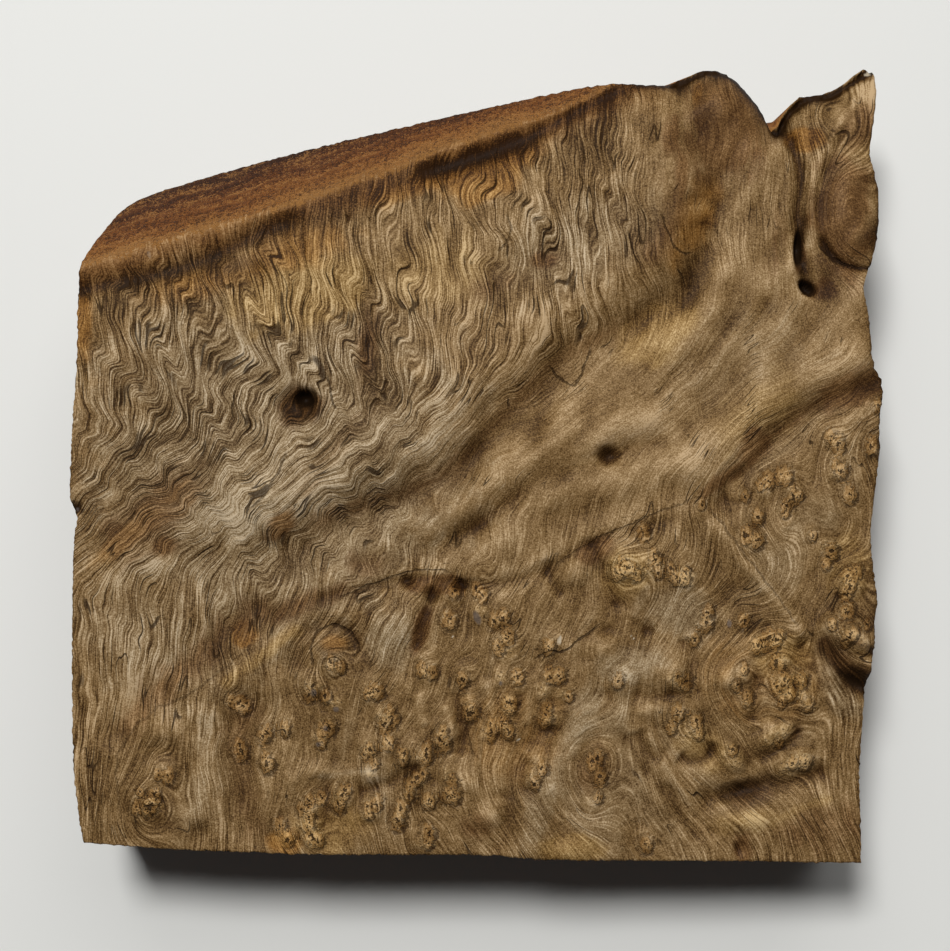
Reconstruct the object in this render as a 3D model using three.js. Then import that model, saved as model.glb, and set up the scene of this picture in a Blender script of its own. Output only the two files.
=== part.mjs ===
// A mallee burl bowl blank: one block of wood, sawn flat underneath and on its sides, with the
// bark taken off and the natural outside of the burl left on top.
//
// Millimetres, +Z up. The origin is the middle of the sawn base. +X runs to the right and +Y to
// the back of the blank as it is looked down on, with the slanting cut at the back left.
import * as THREE from 'three';

const WIDTH = 178;
const DEPTH = 176;

// The height of the skin in the middle, how far the block falls away to its edges, and its lean.
const CROWN = 54.6;
const FALL_TO_SIDES = 4.6;
const FALL_TO_ENDS = 3.8;
const LEAN_X = -0.022;
const LEAN_Y = 0.016;

// How finely the block is faceted, and how much closer the rows lie at the front, among the eyes.
const COLUMNS = 72;
const ROWS = 70;
const FRONT_CLOSENESS = 0.28;
const WALL_DEPTHS = [0, 6, 13];
const STRAIGHTENS_BY = 13;

// The rim of the skin, seen from above, a side at a time and all the way round.
const FRONT_RIM = [
  [-87.2, -83], [-74.5, -83.9], [-61, -84.5], [-39, -85.2], [-16, -85.4], [2, -85.5], [18, -86.6],
  [54, -87.2], [86, -88.2],
];
const RIGHT_RIM = [
  [86, -88.2], [85.7, -78], [85.3, -69], [85.6, -60], [86.1, -51.5], [87.6, -42.5], [88.3, -34],
  [88.9, -29], [88, -22], [87.4, -14.5], [88.5, -3], [89.3, 3], [89.2, 10], [90, 18.5],
  [87.4, 23.5], [87, 32], [85.5, 40], [86.9, 43.6], [88.6, 50], [89.2, 58.5], [88.4, 65],
  [87.2, 69.5], [88.1, 76], [89, 84], [88.9, 88.6],
];
const BACK_RIM = [
  [-83.7, 51.9], [-80.6, 56.8], [-76.3, 60.2], [-67, 63.5], [-39.8, 70.8], [5.4, 80.5],
  [24, 83.9], [33, 84.5], [41, 84.8], [46, 86.2], [50.5, 88.2], [55.5, 87.6], [60, 83.6],
  [63.4, 79.1], [66, 74.3], [68.6, 78.8], [72, 82.4], [77, 83.1], [81, 84.8], [85, 87.9],
  [87.6, 89.3], [88.9, 88.6],
];
const LEFT_RIM = [
  [-87.2, -83], [-88.5, -76], [-89.5, -62], [-89.5, -46], [-89.2, -24], [-88.6, -13.6],
  [-88.2, -11], [-89.6, -7.6], [-89.6, -2], [-89, 12], [-88, 25], [-87.9, 37], [-87.5, 43],
  [-86, 47.8], [-83.7, 51.9],
];

// The saw cuts below the rim, corner to corner. The back right is the burl's own side.
const FRONT_FOOT = [[-86.9, -83.4], [84.9, -87.7]];
const RIGHT_FOOT = [[84.9, -87.7], [86.2, 84]];
const BACK_FOOT = [
  [-83.7, 51.9], [-80.6, 56.8], [-76.3, 60.2], [-67, 63.5], [-39.8, 70.8], [5.4, 80.5], [24, 83.9],
  [35, 84.6], [48, 84.6], [58, 80.8], [66, 76.6], [76, 79.6], [86.2, 84],
];
const LEFT_FOOT = [[-86.9, -83.4], [-87.6, 42], [-83.7, 51.9]];

// The slanting saw cut at the back left, through the pale outer wood to the red wood inside.
const SLANT_CUT = [[-77.2, 46.4, 52.5], [5.3, 72.8, 53], [-39.8, 71.3, 39]];

// Where the burl's own side rolls over at the back right, how wide the roll is and its drop.
const ROLLED_EDGE = [
  [36, 85.5], [44, 84.2], [50.5, 87], [56, 86], [60, 82.3], [63.4, 78], [66, 73.1], [69, 77.8],
  [73, 81.3], [78, 82], [82, 84.2], [88.5, 88.6],
];
const ROLL_WIDTH = 9;
const ROLL_DROP = 7;

// Folds: steps in the skin, high on the left of the path and low on its right.
const FOLD_BACK = 1.6;
const FOLDS = [
  { path: [[-56, -22], [-40, -13], [-26, -6.5], [-10, -1.5], [0, 7.5], [9, 17.5], [20, 27],
    [30, 33], [40, 39], [46, 47], [48.5, 57], [49, 67], [48, 80]], height: 1.8, width: 4.8 },
  { path: [[-15, -20], [-2, -11.5], [9, -4], [19, 1], [28, 4], [44, 9]], height: 0.9, width: 2.6 },
  { path: [[7, -9], [24, -8], [35, -5], [52, 0]], height: 0.5, width: 2.6 },
  { path: [[46, -10], [54, -3], [61, 5], [69, 12], [78, 17], [92, 23]], height: 1.2, width: 3 },
  { path: [[72, -35], [75, -38.5], [79, -42], [83, -45.5], [87, -47.5], [93, -50]], height: 1.5,
    width: 2.6 },
  { path: [[79, -37], [83, -38.8], [88, -40.5], [93, -41.5]], height: 0.8, width: 1.4 },
];

// Grooves, and ridges where the depth is below zero.
const GROOVES = [
  { path: [[-41, -30.5], [-20, -25.7], [-8, -24.4], [1, -26], [15, -22.9], [23, -17.4], [36, -13.4],
    [47, -10.8]], depth: 0.8, width: 1.6 },
  { path: [[-81, -64], [-77, -56], [-70, -48.5], [-64, -43.5], [-57, -38], [-50, -32], [-42, -29]],
    depth: 1.6, width: 4.2 },
  { path: [[47, -75.5], [53, -73], [59, -71], [65, -69], [71, -66.8], [78, -66]], depth: 2.4,
    width: 2.8 },
  { path: [[61, -64.8], [66, -61.5], [71.5, -57.5]], depth: 1, width: 1.7 },
  { path: [[34.5, -57.6], [37, -62.5], [41, -64.5]], depth: 0.9, width: 1.6 },
  { path: [[43.5, -63.5], [47, -64.8], [50.5, -63.5], [51.8, -60]], depth: 1.1, width: 1.6 },
  { path: [[62, -45], [60.3, -51], [60, -57]], depth: 1, width: 1.7 },
  { path: [[45.5, -37], [46.8, -43], [44.5, -48.5]], depth: 1.1, width: 2.2 },
  { path: [[33, -49.8], [41, -50.6], [50, -48.6]], depth: 0.6, width: 1.6 },
  { path: [[34, -53.5], [40, -53], [46, -53.5]], depth: -0.5, width: 2 },
  { path: [[66, 80], [69, 72], [71.2, 62], [71.2, 52], [71.5, 43], [74, 36]], depth: 2.4,
    width: 2.4 },
  { path: [[74.4, 62], [73.8, 54], [76, 48], [80, 44.6], [85, 43.4], [90, 44]], depth: 2.2,
    width: 1.4 },
  { path: [[-16, 62], [-6, 65.5], [2, 68], [10, 71], [18, 75.5], [26, 80], [34, 84]], depth: 1.7,
    width: 2.4 },
  { path: [[-94, 36], [-84, 39], [-74, 41], [-63, 43.5], [-53, 48], [-44, 52], [-36, 54]],
    depth: 1.5, width: 2.8 },
  { path: [[-23, 46], [-24.5, 36], [-23.5, 25], [-22, 14]], depth: 0.5, width: 2 },
  { path: [[49.7, -9], [58, -20.7], [65.8, -29.5], [71.3, -37], [76, -42.5], [79.5, -50]],
    depth: -1, width: 1.8 },
  { path: [[44, -12], [51, -20], [56, -28], [61, -35], [67, -42]], depth: 1, width: 3.2 },
  { path: [[26, -49], [21.5, -57], [18, -64], [14.5, -72.8], [9.7, -88]], depth: -1.1, width: 3.4 },
  { path: [[34, -22], [35, -28], [34, -34]], depth: -0.6, width: 2.2 },
  { path: [[19, -55], [13, -60], [8.5, -66], [7, -72], [6, -80], [3, -88]], depth: 0.9,
    width: 2.6 },
  { path: [[30, -56], [34, -62], [39, -69], [45, -77], [50, -84]], depth: 0.8, width: 1.4 },
  { path: [[41, -69], [47, -76], [53, -82]], depth: 0.6, width: 1.1 },
  { path: [[-39.6, -46], [-38.7, -38.3], [-33.2, -34.8], [-27.7, -36.5], [-26, -42.5]], depth: 1,
    width: 2 },
  { path: [[-7, -24], [-11.2, -31.5], [-13.6, -41]], depth: 1, width: 1.5 },
  { path: [[-5, -48], [-3.4, -55], [-3.6, -64]], depth: 0.9, width: 1.8 },
  { path: [[-7, -51.5], [-5, -60]], depth: -0.7, width: 1.2 },
  { path: [[-13, -49], [-11.5, -57]], depth: -0.7, width: 1.2 },
  { path: [[2, -46], [3, -52], [4.4, -59]], depth: -0.7, width: 1.2 },
  { path: [[11, -45], [11, -51], [10.6, -57]], depth: -0.7, width: 1.2 },
  { path: [[24, -15], [26.5, -21], [29, -27], [31, -32]], depth: 0.8, width: 1.6 },
  { path: [[14.5, -20], [16, -25], [19, -28.5]], depth: 0.8, width: 1.4 },
  { path: [[-37, -34], [-47, -41], [-57, -49], [-66, -55.5], [-74, -62]], depth: -0.8, width: 3 },
  { path: [[-59, -51], [-59.5, -58], [-59.5, -66], [-62, -80]], depth: -0.9, width: 3.4 },
  { path: [[-47, -48], [-51, -56], [-52, -66], [-50, -76], [-46, -86]], depth: 1.3, width: 4.4 },
  { path: [[-43, -70], [-36, -66.5], [-29, -67.5], [-21, -66]], depth: -0.8, width: 1.8 },
  { path: [[-28, -62], [-33, -70], [-43, -78], [-50, -88]], depth: 0.6, width: 2.4 },
  { path: [[-27, -71.5], [-20, -69.5], [-12, -65]], depth: 0.9, width: 1.4 },
];

// Swellings, and hollows where the height is below zero: place, half length, half width,
// the turn of the length from +X in degrees, and height.
const SWELLINGS = [
  { name: 'knot', at: [81.8, 55.5], size: [13.5, 7.5], turn: 90, height: 2.4 },
  { name: 'back lobe', at: [54, 78], size: [15, 10], turn: 90, height: 1.6 },
  { name: 'fan dome', at: [34, -22], size: [11, 9], turn: 20, height: 1.7 },
  { name: 'small dome', at: [21, -23], size: [4.5, 4], turn: 0, height: 1 },
  { name: 'ringed eye', at: [27, -39.6], size: [5.6, 5.6], turn: 0, height: 1 },
  { name: 'swath', at: [35, -44.5], size: [12, 6], turn: 8, height: 1.3 },
  { name: 'front dome', at: [27, -75], size: [15, 10], turn: -75, height: 1.2 },
  { name: 'bald patch', at: [-19, -35], size: [7, 6], turn: 60, height: 1.2 },
  { name: 'right bank', at: [55.5, -45.5], size: [6, 3.6], turn: 15, height: 1.4 },
  { name: 'front bank', at: [3, -76], size: [6, 4], turn: 20, height: 1 },
  { name: 'front bump', at: [-2, -68.5], size: [4, 4], turn: 0, height: 0.8 },
  { name: 'pale bump', at: [12, -63], size: [4, 3], turn: -40, height: 1.1 },
  { name: 'rough patch', at: [20, -84], size: [6, 3.5], turn: 0, height: 0.8 },
  { name: 'low bank', at: [60, -78], size: [8, 3.6], turn: 5, height: 0.9 },
  { name: 'hollow left of the swath', at: [28, -36], size: [3, 2.5], turn: 0, height: -0.8 },
  { name: 'hollow over the swath', at: [37, -36], size: [3, 3], turn: 0, height: -0.9 },
  { name: 'trough end', at: [57, -71.8], size: [7, 3.4], turn: 15, height: -1.4 },
  { name: 'right hollow', at: [84, -48], size: [6, 4.5], turn: -20, height: -1.4 },
  { name: 'left tongue', at: [-62, -66], size: [20, 12], turn: 70, height: 1 },
  { name: 'left dip', at: [-69, -63], size: [6, 5], turn: 30, height: -1 },
  { name: 'back swelling', at: [16, 54], size: [17, 12], turn: 30, height: 1 },
  { name: 'back left swelling', at: [-30, 44], size: [17, 9], turn: 18, height: 1 },
  { name: 'bud hollow', at: [-38.4, 14], size: [6.2, 5.6], turn: 0, height: -1.8 },
  { name: 'bud hole', at: [-37.8, 14.2], size: [3.5, 3.1], turn: 0, height: -5 },
  { name: 'small hollow', at: [28.4, 2.2], size: [3.6, 3.2], turn: 0, height: -1.8 },
  { name: 'crevice slit', at: [70.6, 47.5], size: [5.5, 2], turn: 88, height: -4.5 },
  { name: 'crevice hole', at: [72, 39.2], size: [2.8, 2.2], turn: -30, height: -4.5 },
  { name: 'left edge hole', at: [-88.2, -9.5], size: [3, 2.4], turn: 0, height: -1.8 },
  { name: 'first groove pit', at: [-4, -26], size: [2.6, 2.2], turn: 0, height: -1.6 },
  { name: 'second groove pit', at: [-10, -28], size: [2.4, 3], turn: 0, height: -1.4 },
  { name: 'third groove pit', at: [-15.5, -25], size: [2.4, 2.2], turn: 0, height: -1.2 },
  { name: 'front hole', at: [57.5, -84.5], size: [2, 2.6], turn: 0, height: -1 },
];

// Bud lobes: the tip, length, width, the turn from +X in which the lobe points, in degrees, its
// height, and how many bud eyes it carries near its tip. From the right to the left of the blank.
const LOBES = [
  [87.5, 11.5, 6, 4, -70, 0.8, 1], [87, 1, 7, 4.5, -85, 0.9, 2], [81.5, 4.5, 9, 6, -30, 1, 3],
  [78.6, -3.6, 8, 5, -85, 1, 2], [82, -9, 6, 4.5, -80, 0.9, 1], [69, -4.6, 6, 5, -60, 0.9, 2],
  [70, -8.4, 7, 5, -70, 1, 2], [63, -7.6, 7, 5, -80, 1, 2], [57.4, -8.2, 7, 5, -75, 1, 1],
  [67.3, -14, 8, 4.5, -90, 0.9, 2], [61.6, -12.7, 5, 4, -80, 0.7, 1],
  [73.5, -17, 6, 4, -80, 0.9, 1], [76.6, -20.5, 7, 5, -80, 1, 1],
  [77.4, -24.6, 6, 4.5, -70, 0.9, 1], [61, -19, 8, 6.5, -60, 1.1, 2],
  [82.5, -29.5, 9, 7, -80, 1.6, 6], [82.1, -35, 8, 5, -65, 1.2, 2], [85.5, -36.2, 6, 4, -40, 1, 1],
  [78.5, -36, 6, 4, -50, 1, 1], [86.2, -41.8, 14, 5.5, -44, 1.7, 3], [74, -63, 12, 5.5, 24, 1.4, 1],
  [73, -55.6, 10, 5.5, 22, 1.6, 1], [58, -67, 12, 5.5, -62, 1.3, 2],
  [49.5, -61.5, 15, 9, -48, 1.2, 4], [60.5, -55, 8, 4.5, -65, 1.1, 1],
  [56.5, -50, 5.5, 3.5, -60, 0.8, 1], [59.2, -48, 6, 4, -70, 0.9, 1],
  [73.5, -56.8, 9, 5, -65, 1.2, 0], [68, -52.6, 6, 4.5, -80, 1.1, 2],
  [72.6, -47.2, 7, 4.5, -15, 1, 2], [67.1, -50.2, 8, 5, -80, 1.3, 2],
  [69, -43.5, 6, 4.5, -20, 1.2, 2], [67.1, -40.5, 8, 5.5, -60, 1.2, 4],
  [62.3, -41.4, 8, 5, -70, 1.3, 4], [58.5, -35.6, 7, 4.5, -80, 0.9, 1],
  [50.6, -36.5, 9, 6, -70, 1.1, 3], [46.4, -40.5, 6.5, 4, -100, 1, 1], [49, -12, 6, 4, -70, 0.7, 1],
  [47.3, -27.2, 11, 6.5, -50, 1.7, 4], [40.5, -24, 9, 5.5, -50, 1.1, 3],
  [37, -16.8, 6, 4, -60, 0.8, 1], [33, -25.5, 10, 8, -70, 1.6, 6], [44.7, -49.3, 9, 6, -60, 1.2, 2],
  [34.8, -48.4, 8, 6, -30, 0.7, 1], [24.2, -69.7, 11, 7.5, -110, 0.9, 3],
  [24.6, -76, 7, 5, -95, 0.7, 1], [37, -84.5, 7, 5, -90, 0.6, 1], [20, -45, 9, 5.5, 15, 1.1, 1],
  [15.5, -42, 8, 5, -100, 1, 1], [14, -52, 10, 4.5, -97, 1.3, 1], [18.2, -52, 7, 5, -100, 1.1, 1],
  [15.2, -58, 8, 5.5, -105, 1.3, 2], [10.8, -70.8, 9, 4.5, -110, 1.1, 2],
  [7.4, -43.5, 10, 7, -75, 1.2, 4], [5.2, -48.5, 7, 4.5, -90, 1.1, 0],
  [8.6, -50.2, 7, 4, -90, 1, 2], [6.6, -56, 10, 4.5, -90, 1.4, 2], [8, -60.5, 8, 5, -70, 1.2, 2],
  [2, -61, 9, 5, -90, 1.2, 3], [4.8, -35.7, 7, 5, -90, 0.8, 2], [0, -34.3, 8, 5, -100, 1.2, 0],
  [0.4, -29.6, 5, 4, -90, 0.7, 2], [-5.3, -30.5, 6, 4, -90, 0.8, 1], [-6, -36.5, 7, 5, -90, 0.9, 2],
  [-1.3, -56, 10, 5, -75, 1.2, 2], [-2.4, -48, 7, 5.5, -80, 1, 1], [-10.8, -48, 9, 5, -85, 1.1, 3],
  [-7.7, -62, 8, 5, -95, 1.2, 3], [-13, -66.3, 7.5, 5, -95, 1.1, 2],
  [-7.3, -70, 8, 5.5, -110, 1.1, 2], [-6, -74.3, 6.5, 4.5, -100, 1.1, 2],
  [-13.2, -70.9, 7, 5, -110, 1.1, 2], [-11.4, -75.5, 8, 5, -110, 1.3, 3],
  [-16.3, -74, 8, 4.5, -115, 1.1, 2], [-18, -79, 8, 4.5, -110, 1.1, 2],
  [-14.5, -84, 9, 6, -140, 1.1, 3], [-17, -66, 9, 4.5, -115, 1.1, 3], [-20, -63.7, 7, 4, -95, 1, 2],
  [-23.5, -64.3, 8, 5, -95, 1.2, 3], [-23.3, -69.7, 8, 4, -95, 1.1, 1],
  [-20.2, -57.8, 9, 6, -90, 1.3, 3], [-23.5, -52.5, 9, 5, -95, 1.1, 3],
  [-24.2, -78.4, 8, 6, -100, 1.3, 5], [-31, -46.4, 8, 6, -80, 1.2, 3],
  [-30.8, -54, 7, 6, -80, 1.3, 1], [-35.6, -50.5, 7, 6, -80, 1.3, 1],
  [-33.2, -58, 6, 5, -95, 1.1, 1], [-34.8, -61.8, 7, 5, -95, 1.1, 2],
  [-31, -75.6, 9, 6, -110, 1.4, 4], [-37.8, -77.8, 10, 6, -110, 1.3, 4],
  [-34.3, -79.6, 7, 6, -40, 1.3, 3], [-34.3, -84, 6, 5, -60, 1, 3],
  [-42.5, -83.8, 9, 5.5, -90, 1.1, 2], [-41.4, -59.5, 7, 5, -90, 0.9, 2],
  [-47, -66.6, 8, 6, -95, 0.8, 3], [-46.4, -61.2, 7, 4, -100, 0.7, 2],
  [-53.5, -64, 7, 4.5, -110, 0.6, 2], [-51, -55, 7, 5, -60, 0.6, 3],
  [-69.5, -68.8, 8, 6, -90, 0.6, 2], [-71, -79, 12, 10, -80, 1.3, 12],
];
// How much of a lobe, from its tip, is its round nose, and how much of that carries its eyes.
const NOSE = 0.34;
const LOBE_RISE = 0.8;
const LOBE_FLANK = 0.55;
const EYED = 0.55;
const EYE_SEED = 20;
const EYE_RADIUS = [0.75, 1.35];
const EYE_HEIGHT = [0.35, 0.75];
// Facets this coarse can't carry an eye at its real width, so the solid's eyes are this much wider.
const EYE_SPREAD = 1.8;

// The grain: it runs front to back, and leans to the right where the band of folds crosses it.
const BAND = { middle: 4.75, slope: 0.1885, half: 20, shear: 45 };
// Warps of the grain: size, wavelength.
const GRAIN_WARPS = [[3.2, 26], [1.3, 11], [0.3, 4.6]];
// Where the grain is curled: x, y, half length, half width, strength.
const CURLED = [[-45, 8, 50, 44, 1], [8, 48, 38, 26, 0.6]];
const CURL = { wave: 11, runX: 0.78, runY: 0.62, bend: 2, kink: 0.38 };
// Places where the grain leans: x, y, half length, half width, lean, and the y where it is unmoved.
const LEANS = [[-2, -55, 42, 36, -0.55, -25], [80, -85, 30, 25, 0.4, -80]];
// Eddies that the grain flows round: x, y, half length, half width, turn, how much grain they hold.
const EDDIES = [
  [62, -47, 21, 19, 0, 22], [27, -39.6, 6, 6, 0, 6], [81.8, 55.5, 14, 8, 90, 9],
  [83, -36, 9, 13, 0, 8], [70, -10, 12, 9, 0, 6], [-71, -78, 9, 8, 0, 5], [-37.5, 14, 6, 5, 0, 2.5],
  [-12, -7.7, 3.5, 3.2, 0, 3], [0.9, -23.1, 4, 3, 0, 3], [24.5, -66, 9, 11, 0, 7],
  [33, -24, 8, 9, 0, 7], [-31, -45, 8, 7, 0, 5], [78, 77, 8, 9, 0, 6], [-33, -78, 7, 7, 0, 4],
];
const LOBE_PULL = 0.9;
const LOBE_GRAIN = 0.7;
// Where the wood is burl, all bud lobes: x, y, half length, half width, strength.
const BURL_AREA = [[20, -58, 66, 36, 1], [72, -14, 22, 24, 1], [-30, -66, 30, 24, 0.9]];
// Ridges along the grain: height in the curl, in the burl and elsewhere, width and length.
const RIDGE = { inCurl: 0.3, inBurl: 0.28, elsewhere: 0.12, width: 3.4, length: 15.3 };

// Broad and fine unevenness: height and length.
const UNEVEN = [[1, 30], [0.5, 13], [0.25, 6]];

const radians = (degrees) => (degrees * Math.PI) / 180;
const clamp01 = (t) => Math.min(1, Math.max(0, t));
const smooth = (t) => clamp01(t) ** 2 * (3 - 2 * clamp01(t));
const mix = (a, b, t) => a + (b - a) * t;

// Smooth noise, from about -1 to 1: each whole-numbered place slopes its own way.
function slopeAt(i, j, x, y) {
  const s = Math.sin(i * 127.1 + j * 311.7) * 43758.5453;
  const turn = 2 * Math.PI * (s - Math.floor(s));
  return 1.4 * ((x - i) * Math.cos(turn) + (y - j) * Math.sin(turn));
}
function noise(x, y) {
  const i = Math.floor(x);
  const j = Math.floor(y);
  const u = smooth(x - i);
  const v = smooth(y - j);
  const near = mix(slopeAt(i, j, x, y), slopeAt(i + 1, j, x, y), u);
  const far = mix(slopeAt(i, j + 1, x, y), slopeAt(i + 1, j + 1, x, y), u);
  return mix(near, far, v);
}

// A path rounded off into a smooth curve, as short straight steps.
const STEPS_A_POINT = 4;
const rounded = (path) =>
  new THREE.SplineCurve(path.map((p) => new THREE.Vector2(...p)))
    .getPoints(STEPS_A_POINT * (path.length - 1)).map((p) => [p.x, p.y]);
for (const relief of [...FOLDS, ...GROOVES]) relief.path = rounded(relief.path);
const ROLLED_CURVE = rounded(ROLLED_EDGE);

// The nearest place on a path: how far off it lies, on which side, and the share of the path behind.
function alongPath(path, x, y) {
  const whole = path.slice(1).reduce((sum, [bx, by], i) =>
    sum + Math.hypot(bx - path[i][0], by - path[i][1]), 0);
  const best = { off: Infinity, side: 1, share: 0 };
  let behind = 0;
  for (let i = 0; i < path.length - 1; i += 1) {
    const [ax, ay] = path[i];
    const length = Math.hypot(path[i + 1][0] - ax, path[i + 1][1] - ay);
    const dx = (path[i + 1][0] - ax) / length;
    const dy = (path[i + 1][1] - ay) / length;
    const reach = Math.min(length, Math.max(0, (x - ax) * dx + (y - ay) * dy));
    const off = Math.hypot(x - ax - dx * reach, y - ay - dy * reach);
    if (off < best.off) {
      best.off = off;
      best.side = (x - ax) * dy - (y - ay) * dx > 0 ? 1 : -1;
      best.share = (behind + reach) / whole;
    }
    behind += length;
  }
  return best;
}

// 0 at both ends of a path and 1 between.
const taper = (share) => smooth(share / 0.12) * smooth((1 - share) / 0.12);

// A fold swells further back from its path than it dips in front of it.
function foldAt({ path, height, width }, x, y) {
  const { off, side, share } = alongPath(path, x, y);
  const spread = side < 0 ? FOLD_BACK : 1;
  const s = (side * off) / (width * spread);
  return -height * spread * s * Math.exp(0.5 - (s * s) / 2) * taper(share);
}

function grooveAt({ path, depth, width }, x, y) {
  const { off, share } = alongPath(path, x, y);
  return -depth * Math.exp(-((off / width) ** 2)) * taper(share);
}

// 0 in the middle of an ellipse and 1 on its edge.
function ellipse(x, y, at, size, turn) {
  const c = Math.cos(radians(turn));
  const s = Math.sin(radians(turn));
  const dx = x - at[0];
  const dy = y - at[1];
  return Math.hypot((dx * c + dy * s) / size[0], (dy * c - dx * s) / size[1]);
}

function swellingAt({ at, size, turn, height }, x, y) {
  const r = ellipse(x, y, at, size, turn);
  return r < 1 ? height * (1 - r * r) ** 2 : 0;
}

// How high the lobes stand: each swells towards its tip and ends in a round nose.
function lobesAt(x, y) {
  let cubes = 0;
  for (const [tipX, tipY, length, width, turn, height] of LOBES) {
    const c = Math.cos(radians(turn));
    const s = Math.sin(radians(turn));
    const behind = ((tipX - x) * c + (tipY - y) * s) / length;
    const aside = ((x - tipX) * s - (y - tipY) * c) / (LOBE_FLANK * width);
    const nose = behind < NOSE ? (NOSE - behind) / NOSE : 0;
    const r = Math.hypot(aside, nose);
    if (r < 1 && behind < 1) {
      const swell = 1 - smooth((behind - NOSE) / (1 - NOSE));
      cubes += (LOBE_RISE * height * swell * (1 - r * r) ** 1.3) ** 3;
    }
  }
  return Math.cbrt(cubes);
}

// Every bud eye, drawn on its lobe from one seeded run of numbers.
function budEyes() {
  let state = EYE_SEED;
  const draw = () => {
    state = (state * 1664525 + 1013904223) % 4294967296;
    return state / 4294967296;
  };
  return LOBES.flatMap(([tipX, tipY, length, width, turn, , count]) =>
    Array.from({ length: count }, () => {
      const back = length * (0.12 + EYED * draw());
      const aside = width * 0.6 * (draw() - 0.5);
      const c = Math.cos(radians(turn));
      const s = Math.sin(radians(turn));
      return {
        x: tipX - back * c + aside * s,
        y: tipY - back * s - aside * c,
        radius: mix(EYE_RADIUS[0], EYE_RADIUS[1], draw()),
        height: mix(EYE_HEIGHT[0], EYE_HEIGHT[1], draw()),
      };
    }));
}
const EYES = budEyes();

function eyesAt(x, y) {
  let rise = 0;
  for (const eye of EYES) {
    const r = Math.hypot(x - eye.x, y - eye.y) / (eye.radius * EYE_SPREAD);
    if (r < 1) rise = Math.max(rise, eye.height * (1 - r * r) ** 2);
  }
  return rise;
}

// Smooth noise of three numbers, from -1 to 1.
function scatterAt(i, j, k) {
  const s = Math.sin(i * 127.1 + j * 311.7 + k * 74.7) * 43758.5453;
  return s - Math.floor(s);
}
function noise3(x, y, z) {
  const i = Math.floor(x);
  const j = Math.floor(y);
  const k = Math.floor(z);
  const u = smooth(x - i);
  const v = smooth(y - j);
  const layer = (l) =>
    mix(mix(scatterAt(i, j, l), scatterAt(i + 1, j, l), u),
      mix(scatterAt(i, j + 1, l), scatterAt(i + 1, j + 1, l), u), v);
  return 2 * mix(layer(k), layer(k + 1), smooth(z - k)) - 1;
}

// How curled the grain is, from 0 to 1.
const curlShare = (x, y) => Math.max(...CURLED.map(([atX, atY, length, width, strength]) =>
  strength * Math.exp(-(ellipse(x, y, [atX, atY], [length, width], 0) ** 4))));

// The grain before eddies and lobes part it. Its lines run where this number stays the same.
function plainGrain(x, y) {
  let wx = x;
  let wy = y;
  for (const [size, wave] of GRAIN_WARPS) {
    wx += size * noise(x / wave + 7.3, y / wave + 3.1);
    wy += size * noise(x / wave + 5.3, y / wave + 9.7);
  }
  const over = wy - (BAND.middle + BAND.slope * wx);
  let grain = wx - BAND.shear * smooth((over + BAND.half) / (2 * BAND.half));
  for (const [atX, atY, length, width, lean, still] of LEANS) {
    grain += Math.exp(-(ellipse(x, y, [atX, atY], [length, width], 0) ** 2)) * lean * (wy - still);
  }
  const run = wx * CURL.runX + wy * CURL.runY + 3.5 * noise(x / 19 + 2, y / 19 + 6);
  const turn = (2 * Math.PI * run) / CURL.wave;
  const share = curlShare(x, y) * (0.85 + 0.8 * noise(x / 15 + 4, y / 15));
  return grain + share * (CURL.bend * Math.sin(turn) + CURL.kink * Math.sin(3 * turn + 0.4));
}

// An eddy pulls the grain near it towards one number.
const grainEddies = EDDIES.map(([atX, atY, length, width, turn, hold]) => ({
  at: [atX, atY], size: [length, width], turn, target: plainGrain(atX, atY) + hold, pull: 1,
}));
function eddied(grain, x, y) {
  let value = grain;
  for (const { at, size, turn, target, pull } of grainEddies) {
    const r = ellipse(x, y, at, size, turn);
    const share = r < 3 ? pull * Math.exp(-r * r) : 0;
    value += (target - value) * share;
  }
  return value;
}
const lobeEddies = LOBES.map(([tipX, tipY, length, width, turn]) => {
  const at = [
    tipX - 0.4 * length * Math.cos(radians(turn)), tipY - 0.4 * length * Math.sin(radians(turn)),
  ];
  const target = eddied(plainGrain(...at), ...at) + LOBE_GRAIN * width;
  return { at, size: [0.55 * length, 0.6 * width], turn, target, pull: LOBE_PULL };
});
grainEddies.push(...lobeEddies);

// Ridges along the grain, boldest in the curl and in the burl.
function ridgesAt(x, y) {
  const burl = Math.max(...BURL_AREA.map(([atX, atY, length, width, strength]) =>
    strength * Math.exp(-(ellipse(x, y, [atX, atY], [length, width], 0) ** 3))));
  const height = mix(mix(RIDGE.elsewhere, RIDGE.inBurl, burl), RIDGE.inCurl, curlShare(x, y));
  const grain = eddied(plainGrain(x, y), x, y);
  return height * noise3(grain / RIDGE.width, x / RIDGE.length, y / RIDGE.length);
}

function rollAt(x, y) {
  const { off } = alongPath(ROLLED_CURVE, x, y);
  const inside = clamp01(off / ROLL_WIDTH);
  return -ROLL_DROP * (1 - Math.sqrt(1 - (1 - inside) ** 2));
}

// The height of the slanting saw cut's plane, from its three points.
function slantCutAt(x, y) {
  const [a, b, c] = SLANT_CUT.map((p) => new THREE.Vector3(...p));
  const plane = new THREE.Plane().setFromCoplanarPoints(a, b, c);
  return -(plane.constant + plane.normal.x * x + plane.normal.y * y) / plane.normal.z;
}

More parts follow.
